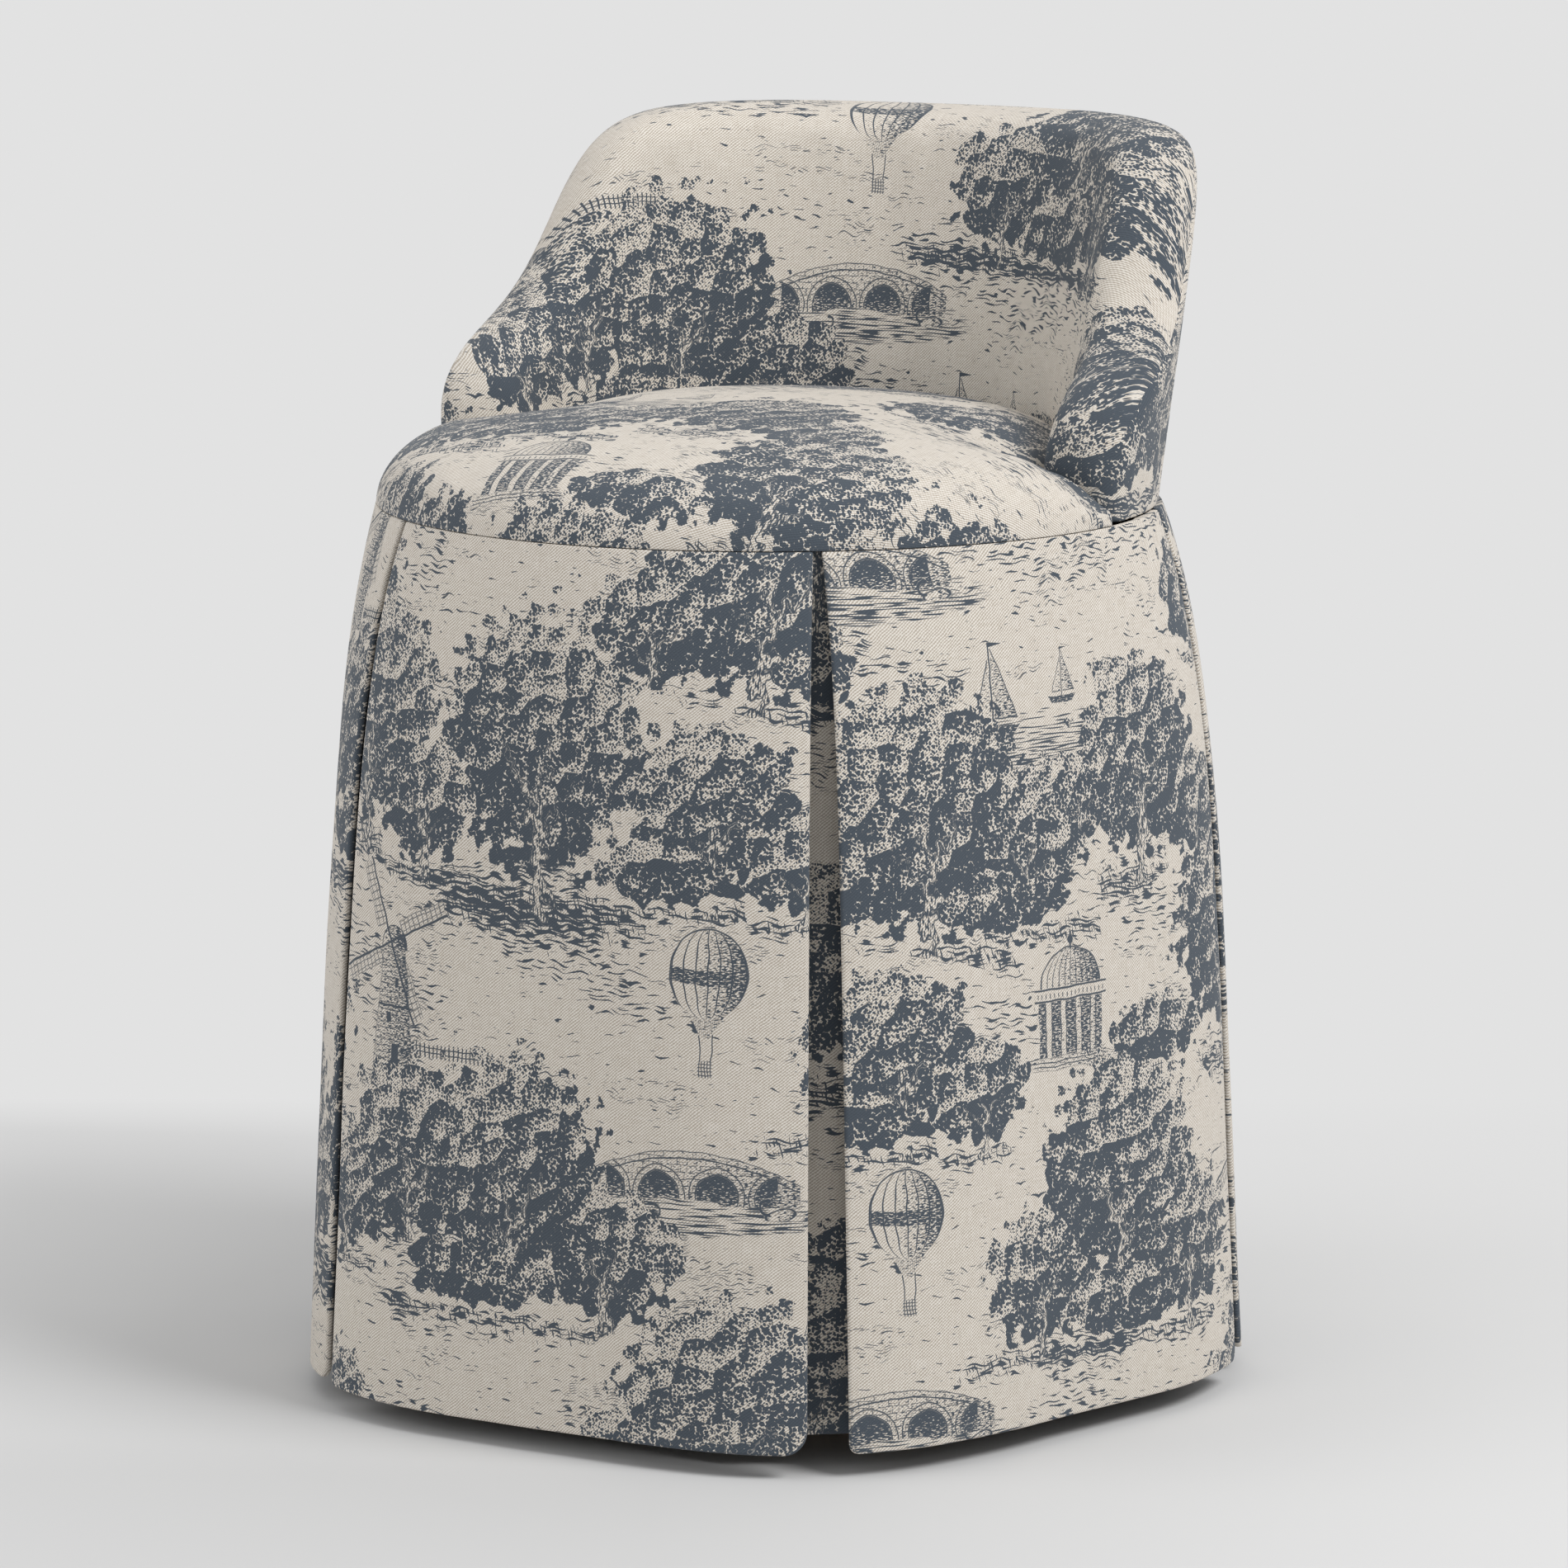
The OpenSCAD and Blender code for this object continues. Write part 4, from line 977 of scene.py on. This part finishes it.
def landscape(u, v, finish):
    """The printed cloth's shader, from millimetres on the cloth. finish makes the shader for an
    amount of ink. The shaders are mixed, so that only the branch in view is worked out."""
    flat = vec(u, v)
    wx, wy = noise(flat, 0.11), noise(vec(u + 91, v), 0.11)
    loose = vec(u + (wx - 0.5) * 5, v + (wy - 0.5) * 5)
    tight = vec(u + (wx - 0.5) * 1.4, v + (wy - 0.5) * 1.4)
    best, x, y, seed, has_trunk = trees(loose)
    here = vec(u + seed, v)
    lump, spot = cells(here, 1 / 12.5)
    rough = noise(here, 0.12, 1)
    warp = noise(flat, 0.55)
    leaf, _ = cells(vec(u + warp * 1.3, v - warp * 1.1), 1 / 1.6)
    crown = best + (lump - 0.42) * 0.4 + (rough - 0.5) * 0.62
    inside = edge(crown + (leaf - 0.5) * 0.1, 1.0, 0.01)
    d = outside_branches(x + (rough - 0.5) * 0.3, y)
    trunk = edge(d, 0.0, 0.008) * has_trunk
    trunk = trunk * edge(y + (leaf - 0.5) * 0.3 + (rough - 0.5), 1.15, 0.05)

    # foliage: round leaves that close up away from the light
    px, py = parts(spot)
    lx, ly = px - (u + seed), py - v
    lit = ly * 0.066 - lx * 0.05 + (y - 1.25) * 0.45 + x * 0.22 + (rough - 0.5) * 1.6
    foliage = edge(leaf - low(high(0.62 - lit * 0.46, 0.27), 0.85), 0.0, 0.045)
    furrow = edge(noise(vec(u * 1.1, v * 0.3), 1.0), 0.46 + x * 0.5, 0.04)
    bark = high(within(d + 0.012, 0.01, 0.006), furrow)
    tree = over(foliage, trunk, bark)

    # ground: broken level strokes, close under the trees
    hill = noise(vec(u * 0.009, v * 0.021), 1.0, 1)
    near = clip(1.2 - size(y + 0.1) * 3.2) * clip(2.2 - size(x))
    patch = clip(hill * 8 - 4.2)
    slope = v + u * 0.05 + (wy - 0.5) * 4
    dash = noise(vec(u * 0.1, slope * 0.85), 1.0)
    broken = noise(vec(u * 0.2, slope * 0.4 + 40), 1.0, 1)
    stroke = edge(dash + (broken - 0.5) * 0.45, 0.14 + near * 0.3 + patch * 0.2, 0.03)
    tuft = noise(vec(u * 0.9 + v * 0.25, v * 0.2), 1.0)
    ink = high(stroke, edge(tuft, near * 0.36 + patch * 0.06, 0.03))
    for cx, cy, w, h in LAKES:
        x2, y2 = parts(place(loose, cx, cy, 1 / w, 1 / h))
        lake = edge(length(x2, y2), 1.0, 0.06)
        ink = over(ink, lake, edge(noise(vec(u * 0.07, v * 1.1), 1.0), 0.42 - y2 * 0.08, 0.03))
    cloud = noise(vec(u * 0.016, v * 0.036), 1.0, 1)
    puff = lines(v + (wy - 0.5) * 6, 1.7, 0.42, 0.14) * within(cloud - 0.66, 0.045, 0.01)
    ink = high(ink, puff * edge(broken, 0.5, 0.03), birds(flat))

    # small buildings and boats, only worked out near them
    field, full = None, ink
    streak = noise(vec(u * 0.42, v * 1.5), 1.0, 1)
    for form, cx, cy, s, w, mid, h in BUILDINGS:
        t = abs(s)
        q = place(tight, cx, cy, 1 / t / w, 1 / t / h, oy=-mid / h)
        a, b = parts(vmath("ABSOLUTE", q))
        here_in = high(a, b) < 1.0
        field = here_in if field is None else high(field, here_in)
        x2, y2 = parts(place(tight, cx, cy, 1 / s, 1 / t))
        top, mask = form(x2, y2, streak)
        full = over(full, mask * here_in, top * here_in)
    return blend(high(inside, trunk), blend(field, finish(ink), finish(full)), finish(tree))


# Materials


def new_material(name):
    mat = bpy.data.materials.new(name)
    mat.use_nodes = True
    Sum.tree = mat.node_tree
    return mat, mat.node_tree.nodes["Principled BSDF"]


def surface(shader):
    feed(Sum.tree.nodes["Material Output"].inputs["Surface"], shader)


def tint(f, a, b):
    """Colour a where f is 0, b where f is 1."""
    n = node("Mix", f, data_type="RGBA")
    for i, value in ((6, a), (7, b)):
        feed(n.inputs[i], (*value, 1.0) if isinstance(value, tuple) else value)
    return n.outputs[2]


def relief(height, depth_mm, strength=1.0):
    n = node("Bump")
    feed_all(n, {"Strength": strength, "Distance": depth_mm * MM, "Height": height})
    return n.outputs[0]


def dress(shader, color, roughness, normal, others={}):
    feed_all(shader, {"Base Color": color, "Roughness": roughness, "Normal": normal, **others})


def wave(a, pitch):
    """Smooth ribs across a at a pitch, 0 to 1."""
    return op("SINE", a * (2 * pi / pitch)) * 0.5 + 0.5


def on_part():
    """x, y and z in millimetres"""
    return [x * 1000 for x in parts(node("TexCoord").outputs["Object"], 3)]


def on_cloth():
    """u and v in millimetres"""
    return [u * 1000 for u in parts(node("UVMap", uv_map="cloth").outputs[0])]


TWILL = 1.2
LINEN_PALE, LINEN_DEEP = (0.765, 0.725, 0.665), (0.43, 0.375, 0.31)
INK_PALE, INK_DEEP = (0.078, 0.095, 0.116), (0.058, 0.072, 0.09)


def printed_linen():
    """Linen twill with ribs that rise to the right, printed in one slate blue."""
    mat, shader = new_material("printed_linen")
    Sum.tree.nodes.remove(shader)
    u, v = on_cloth()
    rib = wave((v - u * 0.8) * 0.78 + noise(vec(u, v), 0.2) * 0.8, TWILL)
    thread = wave(u * 0.8 + v + rib * 0.5, TWILL * 1.5)
    slub = noise(vec(u * 0.1, v * 1.1), 1.0, 1) * 0.5 + noise(vec(u * 1.1, v * 0.1), 1.0, 1) * 0.5
    weave = clip((rib - 0.5) * 1.3 + (thread - 0.5) * 0.55 + (slub - 0.5) * 1.2 + 0.52)
    ground = tint(weave, LINEN_DEEP, LINEN_PALE)
    ink_color = tint(weave * 0.6 + 0.2, INK_DEEP, INK_PALE)
    normal = relief(rib + thread * 0.4 + slub * 0.8, 0.1, 0.6)

    def finish(ink):
        n = node("BsdfPrincipled")
        dress(n, tint(ink, ground, ink_color), 0.88, normal,
              {"Specular IOR Level": 0.22, "Sheen Weight": 0.12, "Sheen Roughness": 0.5})
        return n.outputs[0]

    surface(landscape(u, v, finish))
    return mat


def wood(name, pale, dark, along, ply=0.0):
    """Planed wood: grain along z, or round the seat's axis where along is "round". ply gives the
    thickness of glued layers that show on the edges."""
    mat, shader = new_material(name)
    x, y, z = on_part()
    y = y - SEAT_Y
    r = length(x, y)
    if along == "round":
        run, side, up = op("ARCTAN2", x, y) * SEAT_R, r, z
    else:
        run, side, up = z, x, y
    grain = noise(vec(run * 0.02, side * 0.55, up * 0.55), 0.35, 3, "3D", 0.6)
    rings = wave(side + up * 0.4 + grain * 22, 7.5)
    flecks = edge(noise(vec(run * 0.25, side * 3.2, up * 3.2), 1.0, 1, "3D"), 0.36, 0.05)
    tone = clip(rings * 0.45 + (grain - 0.5) * 1.2 + flecks * 0.4 + 0.1)
    if ply:
        tone = clip(tone * 0.6 + edge(op("PINGPONG", r, ply), ply / 2, 0.1) * 0.4)
    dress(shader, tint(tone, pale, dark), 0.5 + tone * 0.18,
          relief(flecks * -0.6 + rings * 0.25, 0.06))
    return mat


def jute():
    """Open plain weave of coarse yarn."""
    mat, shader = new_material("jute")
    x, y, z = on_part()
    y = y - SEAT_Y
    pitch = 2.6
    slub = noise(vec(x * 0.05 + z * 0.05, y * 0.6), 1.0, 1)
    warp, weft = wave(x + z * 0.6, pitch), wave(y + z * 0.8, pitch)
    over_x, over_y = wave(x, pitch * 2), wave(y, pitch * 2)
    check = over_x * over_y + (1 - over_x) * (1 - over_y)
    yarn = pick(warp, weft, clip(check * 1.6 - 0.3))
    tone = clip(yarn * 0.7 + (slub - 0.5) * 1.6 + 0.15)
    dress(shader, tint(tone, (0.20, 0.13, 0.065), (0.46, 0.335, 0.185)), 0.95, relief(yarn, 0.5),
          {"Specular IOR Level": 0.15})
    return mat


def cambric():
    """Black spun cloth with pressed dots."""
    mat, shader = new_material("cambric")
    x, y, _ = on_part()
    fibres = noise(vec(x, y * 0.35), 1.1, 2) * 0.5 + noise(vec(x * 0.35, y), 1.1, 2) * 0.5
    dots = edge(length(op("PINGPONG", x + y * 0.5, 1.1), op("PINGPONG", y, 1.0)), 0.42, 0.12)
    tone = clip((fibres - 0.5) * 2.4 + 0.5 - dots * 0.3)
    dress(shader, tint(tone, (0.006, 0.006, 0.007), (0.022, 0.022, 0.024)), 0.72 + tone * 0.2,
          relief(fibres - dots * 0.5, 0.15))
    return mat


def nylon():
    mat, shader = new_material("nylon")
    x, y, z = on_part()
    grain = noise(vec(x + z, y), 1.6, 2)
    scuff = noise(vec(x * 0.2, y * 1.4), 1.0, 1)
    dress(shader, tint(scuff, (0.008, 0.008, 0.009), (0.03, 0.03, 0.032)), 0.34 + scuff * 0.3,
          relief(grain, 0.04))
    return mat


def zinc():
    mat, shader = new_material("zinc")
    x, y, z = on_part()
    bloom = noise(vec(x + z * 0.7, y - z * 0.4), 0.35, 2)
    turned = noise(vec(length(x, y) * 4, z * 4), 1.0)
    dress(shader, tint(bloom, (0.44, 0.45, 0.47), (0.66, 0.67, 0.68)), 0.24 + bloom * 0.26,
          relief(turned, 0.02), {"Metallic": 1.0})
    return mat


# Pieces

PANELS = ("front", "front_right", "rear_right", "rear_left", "front_left")
UNDERLAYS = ("front_right", "right", "rear", "left", "front_left")
# where on the print each piece is cut, in millimetres
PANEL_CUT = ((60, 20), (262, 140), (130, 300), (400, 70), (330, 230))
UNDER_CUT = ((173, 230), *PANEL_CUT[:4])
SEAT_CUT, INNER_CUT, OUTER_CUT = (300, 110), (180, 40), (40, 250)


def cut_at(obj, place_mm):
    """Moves a piece's cloth to its own place on the print."""
    layer = obj.data.uv_layers["cloth"]
    uv = np.empty(len(layer.data) * 2)
    layer.data.foreach_get("uv", uv)
    uv = uv.reshape(-1, 2) + np.array(place_mm) * MM
    layer.data.foreach_set("uv", uv.ravel())


cloth_mat = printed_linen()
cambric_mat = cambric()
BEECH = (0.66, 0.47, 0.29), (0.50, 0.32, 0.17)
FINISHES = {
    "beech_round": wood("beech_round", *BEECH, "round"),
    "beech": wood("beech", *BEECH, "z"),
    "plywood": wood("plywood", (0.60, 0.43, 0.26), (0.42, 0.27, 0.14), "round", ply=1.5),
    "jute": jute(), "nylon": nylon(), "steel": zinc()}

for row in frame["record"]["subparts"]:
    slot = row["material_slot"]
    if slot == "beech" and ("rail" in row["node"] or "rim" in row["node"]):
        slot = "beech_round"
    if slot in FINISHES:
        mesh = nodes[row["node"]].data
        mesh.materials.clear()
        mesh.materials.append(FINISHES[slot])

pieces = []
for k, where in enumerate(PANELS):
    panel = skirt_panel("skirt_cloth_" + where, k)
    cut_at(panel, PANEL_CUT[k])
    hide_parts("skirt_panel_" + where)
    under = pleat_underlay("pleat_cloth_" + UNDERLAYS[k], k)
    cut_at(under, UNDER_CUT[k])
    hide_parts("pleat_underlay_" + UNDERLAYS[k])
    pieces += [panel, under]

seat, seat_pins = seat_cushion()
back, back_pins = back_cushion()
swell(seat, seat_pins)
swell(back, back_pins)
subdivide(seat)
subdivide(back)
outer = outer_back_panel()
dust = dust_sheet()
cut_at(seat, SEAT_CUT)
cut_at(back, INNER_CUT)
cut_at(outer, OUTER_CUT)
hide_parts("seat_cover", "seat_wadding", "seat_foam")
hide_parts("inner_back_cover", "back_foam", "arm_front_pad_left", "arm_front_pad_right")
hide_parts("outer_back_cover")
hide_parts("dust_cover")
pieces += [seat, back, outer]

for piece in pieces:
    piece.data.materials.append(cloth_mat)
    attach(piece, "root")
dust.data.materials.append(cambric_mat)
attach(dust, "root")

# Camera, light and floor

# fitted to the photo
CAMERA_DOWN, CAMERA_TURN, LENS = 9.721, 29.167, 157.76

cam = add_object("camera", bpy.data.cameras.new("camera"))
cam.location = (1.7253, -3.0858, 0.9095)
cam.rotation_euler = (radians(90 - CAMERA_DOWN), 0, radians(CAMERA_TURN))
cam.data.sensor_width, cam.data.lens = 36, LENS
scene.camera = cam


def area_light(name, spot, target, width, power):
    data = bpy.data.lights.new(name, "AREA")
    data.shape, data.size, data.energy = "DISK", width, power
    obj = add_object(name, data)
    obj.location = spot
    x, y, z = np.array(target, float) - np.array(spot, float)
    obj.rotation_euler = (atan2(hypot(x, y), -z), 0, atan2(y, x) - pi / 2)


area_light("key", (2.9, -0.15, 3.5), (0, 0, 0.3), 2.0, 122)
area_light("top", (-0.6, -1.0, 3.8), (0, 0, 0.3), 2.4, 10)
area_light("side", (-2.4, -2.2, 1.8), (0, 0, 0.4), 2.4, 26)

# strength of the light from all round, and of the white ground that the camera sees
FILL, PAPER = 0.53, 0.761
world = bpy.data.worlds.new("world")
scene.world = world
world.use_nodes = True
Sum.tree = world.node_tree
path = node("LightPath")
kinds = ("Is Camera Ray", "Is Glossy Ray", "Is Transmission Ray")
seen = high(*[Sum(path.outputs[kind]) for kind in kinds])
feed_all(Sum.tree.nodes["Background"],
         {"Color": (1, 1, 1, 1), "Strength": seen * (PAPER - FILL) + FILL})

# the floor fades into the white ground along the camera's view
ALONG, ACROSS = 0.873, 0.487
FADE_R, FADE_W, HORIZON, HORIZON_W = 330, 900, 470, 150
# painted shadow on the floor, darker in front of the chair and to its left: where it starts in
# front, the depth over which it deepens, and the width across over which it fades
PAINTED_SHADE_START, PAINTED_SHADE_DEEP, PAINTED_SHADE_WIDE = 100, 350, 600
floor_mesh = bpy.data.meshes.new("floor")
floor_mesh.from_pydata([(-9, -9, 0), (9, -9, 0), (9, 9, 0), (-9, 9, 0)], [], [(0, 1, 2, 3)])
floor = add_object("floor", floor_mesh)
mat, shader = new_material("floor")
x, y, _ = on_part()
deep, across = y * ALONG - x * ACROSS, x * ALONG + y * ACROSS
far = high(clip((length(x, y) - FADE_R) * (1 / FADE_W)), clip((deep - HORIZON) * (1 / HORIZON_W)))
# painted shadow: the floor's colour is darkened towards the front and the left of the chair,
# standing in for the soft edge of the chair's shadow
shade = clip((PAINTED_SHADE_START - deep) * (1 / PAINTED_SHADE_DEEP)) * clip(0.9 - across * (1 / PAINTED_SHADE_WIDE))
feed_all(shader, {"Base Color": tint(shade, (0.71, 0.71, 0.71), (0.60, 0.60, 0.60)),
                  "Roughness": 0.9, "Specular IOR Level": 0.1})
flat = node("Emission", (1, 1, 1, 1), PAPER)
surface(blend(far, shader.outputs[0], flat.outputs[0]))
floor.data.materials.append(mat)

scene.view_settings.view_transform = "Standard"
